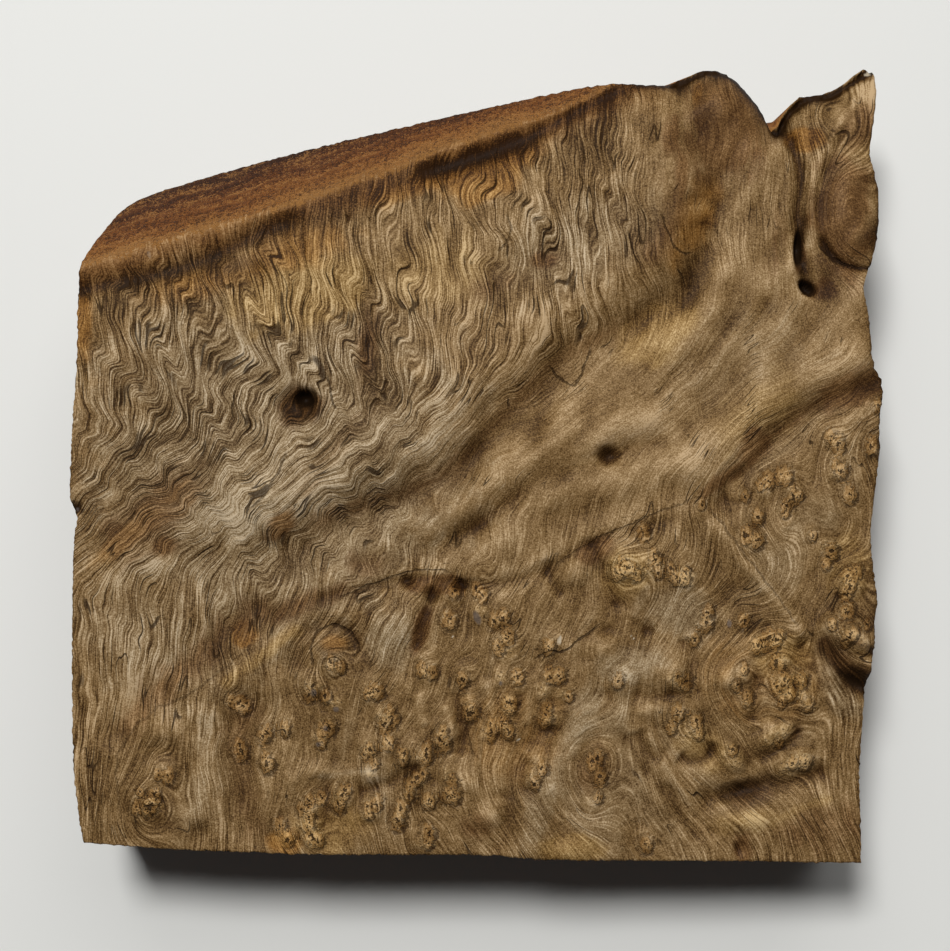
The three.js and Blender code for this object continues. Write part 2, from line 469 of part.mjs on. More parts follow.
function skinAt(x, y) {
  let z = CROWN - FALL_TO_SIDES * (x / (WIDTH / 2)) ** 2 - FALL_TO_ENDS * (y / (DEPTH / 2)) ** 2;
  z += LEAN_X * x + LEAN_Y * y;
  for (const [height, length] of UNEVEN) z += height * noise(x / length, y / length + length);
  for (const fold of FOLDS) z += foldAt(fold, x, y);
  for (const groove of GROOVES) z += grooveAt(groove, x, y);
  for (const swelling of SWELLINGS) z += swellingAt(swelling, x, y);
  z += ridgesAt(x, y) + rollAt(x, y) + lobesAt(x, y) + eyesAt(x, y);
  return Math.min(z, slantCutAt(x, y));
}

// A side's points at these shares of its length: a smooth curve for the rim, straight lines for
// the foot of a saw cut.
const onCurve = (points, shares) => {
  const curve = new THREE.SplineCurve(points.map((p) => new THREE.Vector2(...p)));
  curve.arcLengthDivisions = 40 * points.length;
  return shares.map((share) => curve.getPointAt(share));
};
const onLines = (points, shares) => {
  const lines = new THREE.Path(points.map((p) => new THREE.Vector2(...p)));
  return shares.map((share) => lines.getPointAt(share));
};

// The four rims, from the front left corner to the right or to the back.
const ACROSS = Array.from({ length: COLUMNS }, (_, column) => column / (COLUMNS - 1));
const UPWARD = Array.from({ length: ROWS }, (_, row) => {
  const t = row / (ROWS - 1);
  return t - FRONT_CLOSENESS * t * (1 - t);
});
const front = onCurve(FRONT_RIM, ACROSS);
const back = onCurve(BACK_RIM, ACROSS);
const left = onCurve(LEFT_RIM, UPWARD);
const right = onCurve(RIGHT_RIM, UPWARD);

// A place in plan, blended from the four rims.
function planAt(column, row) {
  const u = ACROSS[column];
  const v = UPWARD[row];
  const across = (axis) => mix(left[row][axis], right[row][axis], u);
  const along = (axis) => mix(front[column][axis], back[column][axis], v);
  const corners = (axis) =>
    mix(mix(front[0][axis], front[COLUMNS - 1][axis], u),
      mix(back[0][axis], back[COLUMNS - 1][axis], u), v);
  const at = (axis) => across(axis) + along(axis) - corners(axis);
  return new THREE.Vector2(at('x'), at('y'));
}

function burlBlank() {
  const plan = [];
  for (let row = 0; row < ROWS; row += 1) {
    for (let column = 0; column < COLUMNS; column += 1) plan.push(planAt(column, row));
  }
  // Moved and scaled by about 1% so that the plan is centred and has its stated size.
  const box = new THREE.Box2().setFromPoints(plan);
  const size = box.getSize(new THREE.Vector2());
  const middle = box.getCenter(new THREE.Vector2());
  const scale = new THREE.Vector2(WIDTH / size.x, DEPTH / size.y);
  const placed = (p) => p.clone().sub(middle).multiply(scale);

  const points = plan.map(placed).map((p) => [p.x, p.y, skinAt(p.x, p.y)]);
  const faces = [];
  const skinIndex = (column, row) => row * COLUMNS + column;
  for (let row = 0; row < ROWS - 1; row += 1) {
    for (let column = 0; column < COLUMNS - 1; column += 1) {
      const a = skinIndex(column, row);
      const b = skinIndex(column + 1, row);
      const c = skinIndex(column + 1, row + 1);
      const d = skinIndex(column, row + 1);
      // The shorter diagonal, so that folds aren't cut across.
      const flat = Math.abs(points[a][2] - points[c][2]) < Math.abs(points[b][2] - points[d][2]);
      if (flat) faces.push([a, b, c], [a, c, d]);
      else faces.push([a, b, d], [b, c, d]);
    }
  }

  // The rim, all the way round from the front left corner, with the foot of the saw cut below it.
  const rim = [];
  const foot = [];
  const addSide = (indices, below) => {
    rim.push(...indices.slice(0, -1));
    foot.push(...below.slice(0, -1).map(placed));
  };
  const columns = ACROSS.map((_, column) => column);
  const rows = UPWARD.map((_, row) => row);
  addSide(columns.map((i) => skinIndex(i, 0)), onLines(FRONT_FOOT, ACROSS));
  addSide(rows.map((i) => skinIndex(COLUMNS - 1, i)), onLines(RIGHT_FOOT, UPWARD));
  addSide(columns.map((i) => skinIndex(i, ROWS - 1)).reverse(), onLines(BACK_FOOT, ACROSS).reverse());
  addSide(rows.map((i) => skinIndex(0, i)).reverse(), onLines(LEFT_FOOT, UPWARD).reverse());

  // Each wall row blends from the rim to the straight saw cut, and the last one is on the base.
  const wallRows = [rim];
  const addRow = (heightAt, blend) => {
    wallRows.push(rim.map((index, i) => {
      const [x, y, z] = points[index];
      points.push([mix(x, foot[i].x, blend), mix(y, foot[i].y, blend), heightAt(z)]);
      return points.length - 1;
    }));
  };
  for (const depth of WALL_DEPTHS.slice(1)) {
    addRow((z) => z - depth, smooth(depth / STRAIGHTENS_BY));
  }
  addRow(() => 0, 1);
  for (let k = 0; k < wallRows.length - 1; k += 1) {
    const upper = wallRows[k];
    const lower = wallRows[k + 1];
    upper.forEach((a, i) => {
      const b = upper[(i + 1) % upper.length];
      const c = lower[(i + 1) % lower.length];
      faces.push([a, lower[i], c], [a, c, b]);
    });
  }

  // The base is a flat fan about the origin.
  const base = wallRows[wallRows.length - 1];
  points.push([0, 0, 0]);
  base.forEach((index, i) => faces.push([points.length - 1, base[(i + 1) % base.length], index]));

  const geometry = new THREE.BufferGeometry();
  geometry.setAttribute('position', new THREE.Float32BufferAttribute(points.flat(), 3));
  geometry.setIndex(faces.flat());
  geometry.computeVertexNormals();
  const wood = new THREE.MeshStandardMaterial({ color: 0x8b6a42, roughness: 0.72, metalness: 0 });
  const mesh = new THREE.Mesh(geometry, wood);
  mesh.name = 'burl_blank';
  return mesh;
}

const blank = new THREE.Group();
blank.add(burlBlank());
export default blank;
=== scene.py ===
import math

import bpy
import numpy as np
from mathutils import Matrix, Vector


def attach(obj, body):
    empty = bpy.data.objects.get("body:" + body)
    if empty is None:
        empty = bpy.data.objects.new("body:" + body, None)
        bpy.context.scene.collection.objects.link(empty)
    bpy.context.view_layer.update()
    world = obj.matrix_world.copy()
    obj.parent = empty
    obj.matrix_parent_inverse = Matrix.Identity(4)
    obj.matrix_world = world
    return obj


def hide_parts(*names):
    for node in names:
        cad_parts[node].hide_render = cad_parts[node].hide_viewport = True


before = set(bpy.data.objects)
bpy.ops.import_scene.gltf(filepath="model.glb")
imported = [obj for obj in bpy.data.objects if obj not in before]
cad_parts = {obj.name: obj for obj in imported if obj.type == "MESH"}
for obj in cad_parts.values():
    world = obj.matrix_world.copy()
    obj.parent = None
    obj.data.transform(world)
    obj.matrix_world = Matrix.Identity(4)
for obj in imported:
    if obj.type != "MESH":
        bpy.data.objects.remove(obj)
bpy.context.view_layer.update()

# A mallee burl bowl blank: its lumpy, bud-eyed skin on top, a slanting saw cut at the back left,
# and sawn sides and base. Tables and formulas are in millimetres; the mesh is in metres.
MM = 0.001

# The skin's broad shape, as the solid has it.
WIDTH = 178
DEPTH = 176
CROWN = 54.6
FALL_TO_SIDES = 4.6
FALL_TO_ENDS = 3.8
LEAN_X = -0.022
LEAN_Y = 0.016
# Noise is given as its height, its wavelength, and its shift to the right and to the back.
UNEVEN = [(1, 30, 0, 30), (0.5, 13, 0, 13), (0.25, 6, 0, 6)]

# The slanting saw cut's plane, through three points.
SLANT_CUT = [(-77.2, 46.4, 52.5), (5.3, 72.8, 53), (-39.8, 71.3, 39)]

# Where the burl's own side rolls over at the back right.
ROLLED_EDGE = [
    (36, 85.5), (44, 84.2), (50.5, 87), (56, 86), (60, 82.3), (63.4, 78), (66, 73.1), (69, 77.8),
    (73, 81.3), (78, 82), (82, 84.2), (88.5, 88.6),
]
ROLL_WIDTH = 9
ROLL_DROP = 7

# How much of a path's length its two ends each fade over, and how many widths a fold or a groove
# reaches to its sides.
TAPER = 0.12
FOLD_REACH = 7
GROOVE_REACH = 3.5
# Folds: steps in the skin, high on the left of the path and low on its right: path, height, width.
# A fold swells further back from its path than it dips in front of it.
FOLD_BACK = 1.6
FOLDS = [
    ([(-56, -22), (-40, -13), (-26, -6.5), (-10, -1.5), (0, 7.5), (9, 17.5), (20, 27), (30, 33),
      (40, 39), (46, 47), (48.5, 57), (49, 67), (48, 80)], 1.8, 4.8),
    ([(-15, -20), (-2, -11.5), (9, -4), (19, 1), (28, 4), (44, 9)], 0.9, 2.6),
    ([(7, -9), (24, -8), (35, -5), (52, 0)], 0.5, 2.6),
    ([(46, -10), (54, -3), (61, 5), (69, 12), (78, 17), (92, 23)], 1.2, 3),
    ([(72, -35), (75, -38.5), (79, -42), (83, -45.5), (87, -47.5), (93, -50)], 1.5, 2.6),
    ([(79, -37), (83, -38.8), (88, -40.5), (93, -41.5)], 0.8, 1.4),
]

# Grooves, and ridges where the depth is below zero: path, depth, width.
GROOVES = [
    ([(-41, -30.5), (-20, -25.7), (-8, -24.4), (1, -26), (15, -22.9), (23, -17.4), (36, -13.4),
      (47, -10.8)], 0.8, 1.6),
    ([(-81, -64), (-77, -56), (-70, -48.5), (-64, -43.5), (-57, -38), (-50, -32), (-42, -29)],
     1.6, 4.2),
    ([(47, -75), (53, -72.5), (58, -72), (63, -70), (68, -69.4), (74, -68.4), (79, -66)], 1.6, 2.8),
    ([(61, -64.8), (66, -61.5), (71.5, -57.5)], 1, 1.7),
    ([(34.5, -57.6), (37, -62.5), (41, -64.5)], 0.9, 1.6),
    ([(43.5, -63.5), (47, -64.8), (50.5, -63.5), (51.8, -60)], 1.1, 1.6),
    ([(62, -45), (60.3, -51), (60, -57)], 1, 1.7),
    ([(45.5, -37), (46.8, -43), (44.5, -48.5)], 1.1, 2.2),
    ([(33, -49.8), (41, -50.6), (50, -48.6)], 0.6, 1.6),
    ([(34, -53.5), (40, -53), (46, -53.5)], -0.5, 2),
    ([(66, 80), (68.4, 72), (71, 64), (70.2, 56), (70.8, 50), (71.8, 43), (74, 36)], 1.5, 1.5),
    ([(74.8, 51), (77, 47.2), (80, 44.6), (85, 43.4), (90, 44)], 1.2, 0.7),
    ([(86, 88), (81, 79), (76.5, 71), (74, 64), (73, 56), (74, 49)], -0.8, 1.3),
    ([(84, 84), (79, 76), (75, 68)], 0.6, 0.7), ([(72.6, 60), (71.9, 53), (73, 46)], 0.5, 0.6),
    ([(-16, 62), (-6, 65.5), (2, 68), (10, 71), (18, 75.5), (26, 80), (34, 84)], 1.7, 2.4),
    ([(-94, 36), (-84, 39), (-74, 41), (-63, 43.5), (-53, 48), (-44, 52), (-36, 54)], 1.5, 2.8),
    ([(-23, 46), (-24.5, 36), (-23.5, 25), (-22, 14)], 0.5, 2),
    ([(49.7, -9), (58, -20.7), (65.8, -29.5), (71.3, -37), (76, -42.5), (79.5, -50)], -1, 1.8),
    ([(44, -12), (51, -20), (56, -28), (61, -35), (67, -42)], 1, 3.2),
    ([(26, -49), (21.5, -57), (18, -64), (14.5, -72.8), (9.7, -88)], -1.1, 3.4),
    ([(34, -22), (35, -28), (34, -34)], -0.6, 2.2),
    ([(19, -55), (13, -60), (8.5, -66), (7, -72), (6, -80), (3, -88)], 0.9, 2.6),
    ([(30, -56), (34, -62), (39, -69), (45, -77), (50, -84)], 0.8, 1.4),
    ([(41, -69), (47, -76), (53, -82)], 0.6, 1.1),
    ([(-39.6, -46), (-38.7, -38.3), (-33.2, -34.8), (-27.7, -36.5), (-26, -42.5)], 1, 2),
    ([(-7, -24), (-11.2, -31.5), (-13.6, -41)], 1, 1.5),
    ([(-5, -48), (-3.4, -55), (-3.6, -64)], 0.9, 1.8),
    ([(-7, -51.5), (-5, -60)], -0.7, 1.2),
    ([(-13, -49), (-11.5, -57)], -0.7, 1.2),
    ([(2, -46), (3, -52), (4.4, -59)], -0.7, 1.2),
    ([(11, -45), (11, -51), (10.6, -57)], -0.7, 1.2),
    ([(24, -15), (26.5, -21), (29, -27), (31, -32)], 0.8, 1.6),
    ([(14.5, -20), (16, -25), (19, -28.5)], 0.8, 1.4),
    ([(-37, -34), (-47, -41), (-57, -49), (-66, -55.5), (-74, -62)], -0.8, 3),
    ([(-59, -51), (-59.5, -58), (-59.5, -66), (-62, -80)], -0.9, 3.4),
    ([(-47, -48), (-51, -56), (-52, -66), (-50, -76), (-46, -86)], 1.3, 4.4),
    ([(-43, -70), (-36, -66.5), (-29, -67.5), (-21, -66)], -0.8, 1.8),
    ([(-28, -62), (-33, -70), (-43, -78), (-50, -88)], 0.6, 2.4),
    ([(-27, -71.5), (-20, -69.5), (-12, -65)], 0.9, 1.4),
]

# Swellings, and hollows where the height is below zero: x, y, half length, half width, the turn
# of the length from +X in degrees, height.
SWELLINGS = {
    "knot": (81.8, 55.5, 13.5, 7.5, 90, 2.4),
    "back lobe": (54, 78, 15, 10, 90, 1.6),
    "fan dome": (34, -22, 11, 9, 20, 1.7),
    "small dome": (21, -23, 4.5, 4, 0, 1),
    "ringed eye": (27, -39.6, 5.6, 5.6, 0, 1),
    "swath": (35, -44.5, 12, 6, 8, 1.3),
    "front dome": (27, -75, 15, 10, -75, 1.2),
    "bald patch": (-19, -35, 7, 6, 60, 1.2),
    "right bank": (55.5, -45.5, 6, 3.6, 15, 1.4),
    "front bank": (3, -76, 6, 4, 20, 1),
    "front bump": (-2, -68.5, 4, 4, 0, 0.8),
    "pale bump": (12, -63, 4, 3, -40, 1.1),
    "rough patch": (20, -84, 6, 3.5, 0, 0.8),
    "low bank": (60, -78, 8, 3.6, 5, 0.9),
    "hollow left of the swath": (28, -36, 3, 2.5, 0, -0.8),
    "hollow over the swath": (37, -36, 3, 3, 0, -0.9),
    "trough end": (57, -71.8, 7, 3.4, 15, -1.4),
    "right hollow": (84, -48, 6, 4.5, -20, -1.4),
    "left tongue": (-62, -66, 20, 12, 70, 1),
    "left dip": (-69, -63, 6, 5, 30, -1),
    "back swelling": (16, 54, 17, 12, 30, 1),
    "back left swelling": (-30, 44, 17, 9, 18, 1),
    "bud hollow": (-38.8, 13.2, 6.4, 5.6, 30, -2.6),
    "bud hole": (-37.3, 14.6, 3.2, 2.8, 0, -3.8),
    "small hollow": (28.4, 2.2, 3.6, 3.2, 0, -1.8),
    "crevice slit": (70.4, 47.5, 5.2, 1.5, 86, -4.5),
    "crevice hole": (72.2, 39, 3, 1.7, -42, -4.5),
    "left edge hole": (-88.2, -9.5, 3, 2.4, 0, -1.8),
    "first groove pit": (-4, -26, 2.6, 2.2, 0, -1.6),
    "second groove pit": (-10, -28, 2.4, 3, 0, -1.4),
    "third groove pit": (-15.5, -25, 2.4, 2.2, 0, -1.2),
    "front hole": (57.5, -84.5, 2, 2.6, 0, -1),
}

# Bud lobes: the tip, length, width, the turn from +X in which the lobe points, in degrees, its
# height, and how many bud eyes it carries near its tip. From the right to the left of the blank.
LOBES = [
    (87.5, 11.5, 6, 4, -70, 0.8, 1), (87, 1, 7, 4.5, -85, 0.9, 2), (81.5, 4.5, 9, 6, -30, 1, 3),
    (78.6, -3.6, 8, 5, -85, 1, 2), (82, -9, 6, 4.5, -80, 0.9, 1), (69, -4.6, 6, 5, -60, 0.9, 2),
    (70, -8.4, 7, 5, -70, 1, 2), (63, -7.6, 7, 5, -80, 1, 2), (57.4, -8.2, 7, 5, -75, 1, 1),
    (67.3, -14, 8, 4.5, -90, 0.9, 2), (61.6, -12.7, 5, 4, -80, 0.7, 1),
    (73.5, -17, 6, 4, -80, 0.9, 1), (76.6, -20.5, 7, 5, -80, 1, 1), (77.4, -24.6, 6, 4.5, -70, 0.9, 1),
    (61, -19, 8, 6.5, -60, 1.1, 2), (82.5, -29.5, 9, 7, -80, 1.6, 6), (82.1, -35, 8, 5, -65, 1.2, 2),
    (85.5, -36.2, 6, 4, -40, 1, 1), (78.5, -36, 6, 4, -50, 1, 1),
    (86.2, -41.8, 14, 5.5, -44, 1.7, 3), (75, -63.4, 14, 6.5, 22, 2.3, 2),
    (70.5, -56.8, 13, 6, 28, 2.3, 1), (58.4, -67.6, 12, 5.5, -58, 1.9, 2),
    (49.5, -61.5, 15, 9, -48, 1.2, 4), (60.5, -55, 8, 4.5, -65, 1.1, 1),
    (56.5, -50, 5.5, 3.5, -60, 0.8, 1), (59.2, -48, 6, 4, -70, 0.9, 1), (73.2, -54.5, 8, 5, -75, 1.2, 1),
    (68, -52.6, 6, 4.5, -80, 1.1, 2), (72.6, -47.2, 7, 4.5, -15, 1, 2), (67.1, -50.2, 8, 5, -80, 1.3, 2),
    (69, -43.5, 6, 4.5, -20, 1.2, 2), (67.1, -40.5, 8, 5.5, -60, 1.2, 4),
    (62.3, -41.4, 8, 5, -70, 1.3, 4), (58.5, -35.6, 7, 4.5, -80, 0.9, 1),
    (50.6, -36.5, 9, 6, -70, 1.1, 3), (46.4, -40.5, 6.5, 4, -100, 1, 1), (49, -12, 6, 4, -70, 0.7, 1),
    (47.3, -27.2, 11, 6.5, -50, 1.7, 4), (40.5, -24, 9, 5.5, -50, 1.1, 3), (37, -16.8, 6, 4, -60, 0.8, 1),
    (33, -25.5, 10, 8, -70, 1.6, 6), (44.7, -49.3, 9, 6, -60, 1.2, 2), (34.8, -48.4, 8, 6, -30, 0.7, 1),
    (24.2, -69.7, 11, 7.5, -110, 0.9, 3), (24.6, -76, 7, 5, -95, 0.7, 1), (37, -84.5, 7, 5, -90, 0.6, 1),
    (20, -45, 9, 5.5, 15, 1.1, 1), (15.5, -42, 8, 5, -100, 1, 1), (14, -52, 10, 4.5, -97, 1.3, 1),
    (18.2, -52, 7, 5, -100, 1.1, 1), (15.2, -58, 8, 5.5, -105, 1.3, 2),
    (10.8, -70.8, 9, 4.5, -110, 1.1, 2), (7.4, -43.5, 10, 7, -75, 1.2, 4), (5.2, -48.5, 7, 4.5, -90, 1.1, 0),
    (8.6, -50.2, 7, 4, -90, 1, 2), (6.6, -56, 10, 4.5, -90, 1.4, 2), (8, -60.5, 8, 5, -70, 1.2, 2),
    (2, -61, 9, 5, -90, 1.2, 3), (4.8, -35.7, 7, 5, -90, 0.8, 2), (0, -34.3, 8, 5, -100, 1.2, 0),
    (0.4, -29.6, 5, 4, -90, 0.7, 2), (-5.3, -30.5, 6, 4, -90, 0.8, 1), (-6, -36.5, 7, 5, -90, 0.9, 2),
    (-1.3, -56, 10, 5, -75, 1.2, 2), (-2.4, -48, 7, 5.5, -80, 1, 1), (-10.8, -48, 9, 5, -85, 1.1, 3),
    (-7.7, -62, 8, 5, -95, 1.2, 3), (-13, -66.3, 7.5, 5, -95, 1.1, 2), (-7.3, -70, 8, 5.5, -110, 1.1, 2),
    (-6, -74.3, 6.5, 4.5, -100, 1.1, 2), (-13.2, -70.9, 7, 5, -110, 1.1, 2),
    (-11.4, -75.5, 8, 5, -110, 1.3, 3), (-16.3, -74, 8, 4.5, -115, 1.1, 2),
    (-18, -79, 8, 4.5, -110, 1.1, 2), (-14.5, -84, 9, 6, -140, 1.1, 3), (-17, -66, 9, 4.5, -115, 1.1, 3),
    (-20, -63.7, 7, 4, -95, 1, 2), (-23.5, -64.3, 8, 5, -95, 1.2, 3), (-23.3, -69.7, 8, 4, -95, 1.1, 1),
    (-20.2, -57.8, 9, 6, -90, 1.3, 3), (-23.5, -52.5, 9, 5, -95, 1.1, 3),
    (-24.2, -78.4, 8, 6, -100, 1.3, 5), (-31, -46.4, 8, 6, -80, 1.2, 3), (-30.8, -54, 7, 6, -80, 1.3, 1),
    (-35.6, -50.5, 7, 6, -80, 1.3, 1), (-33.2, -58, 6, 5, -95, 1.1, 1), (-34.8, -61.8, 7, 5, -95, 1.1, 2),
    (-31, -75.6, 9, 6, -110, 1.4, 4), (-37.8, -77.8, 10, 6, -110, 1.3, 4), (-34.3, -79.6, 7, 6, -40, 1.3, 3),
    (-34.3, -84, 6, 5, -60, 1, 3), (-42.5, -83.8, 9, 5.5, -90, 1.1, 2), (-41.4, -59.5, 7, 5, -90, 0.9, 2),
    (-47, -66.6, 8, 6, -95, 0.8, 3), (-46.4, -61.2, 7, 4, -100, 0.7, 2), (-53.5, -64, 7, 4.5, -110, 0.6, 2),
    (-51, -55, 7, 5, -60, 0.6, 3), (-69.5, -68.8, 8, 6, -90, 0.6, 2), (-71, -79, 12, 10, -80, 1.3, 12),
]
# The round nose's share of a lobe's length, half a lobe's breadth in widths, and its crumpled skin.
NOSE = 0.34
LOBE_HALF = 0.55
LOBE_RISE = 0.8
CRUMPLE = [(0.38, 1.9, 0, 40), (0.24, 1.1, 9, 0)]
# Bud eyes lie behind the tip, from EYED_FROM on, over a share EYED of the lobe's length.
EYED_FROM = 0.12
EYED = 0.55
EYED_WIDTH = 0.6
EYE_SEED = 20
DRAW_FACTOR = 1664525
DRAW_STEP = 1013904223
DRAW_RANGE = 2**32
EYE_RADIUS = (0.75, 1.35)
EYE_HEIGHT = (0.35, 0.75)
EYE_SPREAD = 1.2
EYE_NARROWING = 0.62
EYE_ROUGHNESS = 0.25
RING_RISE = 0.8
PIT_DEPTH = 0.35
PIT_WIDTH = 0.42

# The grain: it runs front to back, and leans to the right where the band of folds crosses it.
BAND_MIDDLE = 4.75
BAND_SLOPE = 0.1885
BAND_HALF = 20
BAND_SHEAR = 45
# Warps of the grain: size, wavelength, and the shifts of the warp to the right and to the back.
GRAIN_WARPS = [(3.2, 26), (1.3, 11), (0.4, 4.6)]
WARP_RIGHT = (7.3, 3.1)
WARP_BACK = (5.3, 9.7)
# Where the grain is curled: x, y, half length, half width, turn, strength.
CURLED = [(-45, 8, 50, 44, 0, 1), (8, 48, 38, 26, 20, 0.6)]
CURL_WAVE = 11
CURL_RUN = (0.78, 0.62)
RIPPLE_WAVE = 4.7
# Places where the grain leans: x, y, half length, half width, lean, and the y where it is unmoved.
LEANS = [(-2, -55, 42, 36, -0.55, -25), (80, -85, 30, 25, 0.4, -80)]
# Eddies that the grain flows round: x, y, half length, half width, turn, how much grain they hold.
EDDIES = [
    (62, -47, 21, 19, 0, 22), (27, -39.6, 6, 6, 0, 6), (81.8, 55.5, 14, 8, 90, 9),
    (83, -36, 9, 13, 0, 8), (70, -10, 12, 9, 0, 6), (-71, -78, 9, 8, 0, 5), (-37.5, 14, 6, 5, 0, 2.5),
    (-12, -7.7, 3.5, 3.2, 0, 3), (0.9, -23.1, 4, 3, 0, 3), (24.5, -66, 9, 11, 0, 7),
    (33, -24, 8, 9, 0, 7), (-31, -45, 8, 7, 0, 5), (78, 77, 8, 9, 0, 6), (-33, -78, 7, 7, 0, 4),
]
# The grain flows round the middle of each lobe, this share of its length behind its tip: how
# strongly, how much grain it holds for its width, and how far out, in lengths and widths.
LOBE_MIDDLE = 0.4
LOBE_PULL = 0.72
LOBE_GRAIN = 0.7
LOBE_FLOW = (0.55, 0.6)

# Ridges of the grain itself: depth in the curl, in the burl and elsewhere, and width. Each is a
# few widths long.
RIDGE_LENGTH = 4.5
GRAIN_RIDGES = [(0.3, 0.28, 0.12, 3.4), (0.16, 0.14, 0.06, 1.7)]

# Small lumps all over the burl, and soft slanting waves on the smooth wood: height, across, along.
LUMPS = [(0.22, 2.9, 30, 0), (0.11, 1.4, 0, 60)]
DRAPE = [(1.1, 7, 17), (0.3, 3.2, 9)]
# How strongly the soft waves are painted lighter where high and darker where low: painted light and shade.
DRAPE_LIGHT_AND_SHADE = 0.14

# The ragged edges of stains and streaks.
WANDER = [(1, 5, 3, 0), (0.5, 2.1, 0, 8)]
STREAK_EDGE = [(0.6, 3.1, 0, 6)]
STREAK_REACH = 3
RAGGED_STAIN = 0.3

# Stains on the skin, with painted shade among the umber ones: x, y, half length, half width,
# turn in degrees, strength.
STAINS_AND_SHADE = {
    "silver": [
        (-45, 2, 44, 42, 20, 0.85), (-22, 14, 24, 18, 30, 0.4), (-70, -36, 18, 26, 60, 0.5),
        (20, 48, 26, 12, 20, 0.5), (44, -32, 5, 9, 80, 0.8), (33, -43, 9, 4, 10, 0.8),
        (22, -56, 4, 11, -20, 0.7), (13, -76, 4, 12, -10, 0.6), (80, -50, 4, 9, 30, 0.7),
        (60, 25, 24, 14, 20, 0.35), (-19, -38, 7, 7, 0, 0.7), (-60, -70, 8, 16, -20, 0.35),
    ],
    "gold": [
        (-38.7, 38, 17, 9, 15, 0.9), (39, 29, 10, 6, 40, 0.9), (-8, 42, 16, 10, 10, 0.5),
        (32, -23.5, 6, 6, 0, 0.8), (66, -41, 7, 5, 0, 0.8), (69, -48, 5, 4, 0, 0.7),
        (82, -22, 6, 9, 0, 0.6), (62, 12, 14, 8, 30, 0.5), (20, -84, 8, 3.5, 0, 1),
        (50, -62, 8, 5, -40, 0.6), (-32, -80, 9, 6, 0, 0.7), (60, -78, 9, 3.5, 5, 0.6),
        (86, 70, 4, 7, 80, 0.5),
    ],
    "amber": [
        (0.4, 60.5, 8, 4, 10, 1), (2, 67, 14, 5, 14, 0.9), (-38.7, 47, 15, 5, 15, 0.6),
        (-86.5, 32, 9, 3, 90, 0.9), (-60, 40, 16, 5, 12, 0.5), (-51, -36.5, 3.4, 3, 0, 1),
        (-42, -82.3, 4, 3, 0, 0.9), (-31, -38.3, 3.5, 2, 0, 0.8), (71.7, 71.7, 4, 3, 0, 1),
        (48.2, 81.6, 3.5, 1.2, 80, 0.9), (-76, -15, 12, 3, 42, 0.6), (47, 54, 12, 5, 60, 0.7),
        (8, -58, 18, 14, 0, 0.35), (62, -46, 18, 14, -20, 0.35),
    ],
    "rust_and_shade": [
        (-69.5, -9.7, 17, 7, 42, 0.6), (-79.4, -14, 4, 3, 0, 0.6), (-68.4, -17.4, 4, 3, 0, 0.8),
        (-43, -13, 5, 2.5, 40, 0.8), (-23.8, 25.5, 12, 3, 85, 0.6), (42.2, 71.7, 6, 2.5, 80, 0.8),
        (15.2, 44.9, 4.5, 2, 10, 0.7), (3, 38.7, 6, 3, 20, 0.5), (76, 38.7, 3.5, 3, 0, 0.9),
        (-9.8, -25.6, 7.5, 2.2, 5, 1), (-12.4, -35.8, 6, 2, 75, 0.9), (25.5, -18.5, 4.5, 3, 20, 0.9),
        (60.7, 4.6, 5, 3.5, 60, 1), (53, -3.5, 8, 2, 35, 0.8), (82.3, 16.7, 9, 4.5, 20, 0.8),
        (58.5, -83.8, 2.6, 4.5, 0, 0.8), (0.2, -78.5, 4.5, 3.5, 0, 0.6), (77, -80, 13, 7, 10, 0.5),
        (25, -66.2, 4.5, 7, 0, 0.5), (-38, -30, 14, 3, 22, 0.6), (-24, -21.5, 6, 4, 0, 0.5),
        (65.5, 50, 12, 2.5, 80, 0.4), (-30, 4, 18, 3, 50, 0.35), (80.5, 54, 14, 8, 90, 0.9),
        (55, 75, 14, 11, 80, 0.9), (84, 74, 7, 5, 70, 0.6),
    ],
    # Dark brown wood, and painted shade in the crevice, the bud hollow, the notch, the trough, the dip
    # at the left and along the slanting cut's crease.
    "umber_and_shade": [
        (-55, 44, 8, 3, 10, 0.5), (9.7, 74.1, 8, 3, 20, 0.8), (31.7, 83, 4, 2, 15, 0.8),
        (66, 74, 2, 4, 0, 0.6), (70.8, 47.5, 6, 1.6, 86, 1), (72.4, 39.4, 2.6, 2, -30, 1),
        (60, -71.5, 9, 4.5, 12, 0.6), (-70, -60, 12, 14, 60, 0.2), (48, 60, 14, 3, 75, 0.4),
        (-38.6, 13.2, 6.2, 5.2, 30, 0.8), (-31, -37.5, 7, 6, 0, 0.35), (-60, 20, 20, 8, 40, 0.2),
    ],
    "grey": [
        (-0.2, -33, 0.9, 2, 20, 1), (5, -47.3, 0.8, 0.9, 0, 1), (-35.6, -49.3, 0.9, 1.1, 0, 1),
        (-30.8, -53, 0.9, 0.8, 0, 1), (-33.2, -57.2, 0.8, 0.9, 0, 1), (-34.8, -60.7, 0.8, 0.7, 0, 1),
        (55, -34.5, 0.7, 1.2, 0, 1), (-87.6, -9.5, 0.8, 0.8, 0, 0.9),
    ],
    "white": [
        (-63.2, 54.8, 0.5, 1.1, 20, 1), (-71.5, 45.8, 0.6, 1.3, 20, 1), (-5.5, -37, 0.4, 0.4, 0, 1),
        (8.8, -59.8, 1, 0.4, 30, 1), (17.8, -38, 0.7, 1.7, -10, 0.9), (33.8, -37.3, 0.3, 1, 40, 0.9),
        (87, 87.5, 1.6, 0.8, 40, 0.9), (-18.8, 65.8, 1.6, 0.5, 15, 0.7),
    ],
}
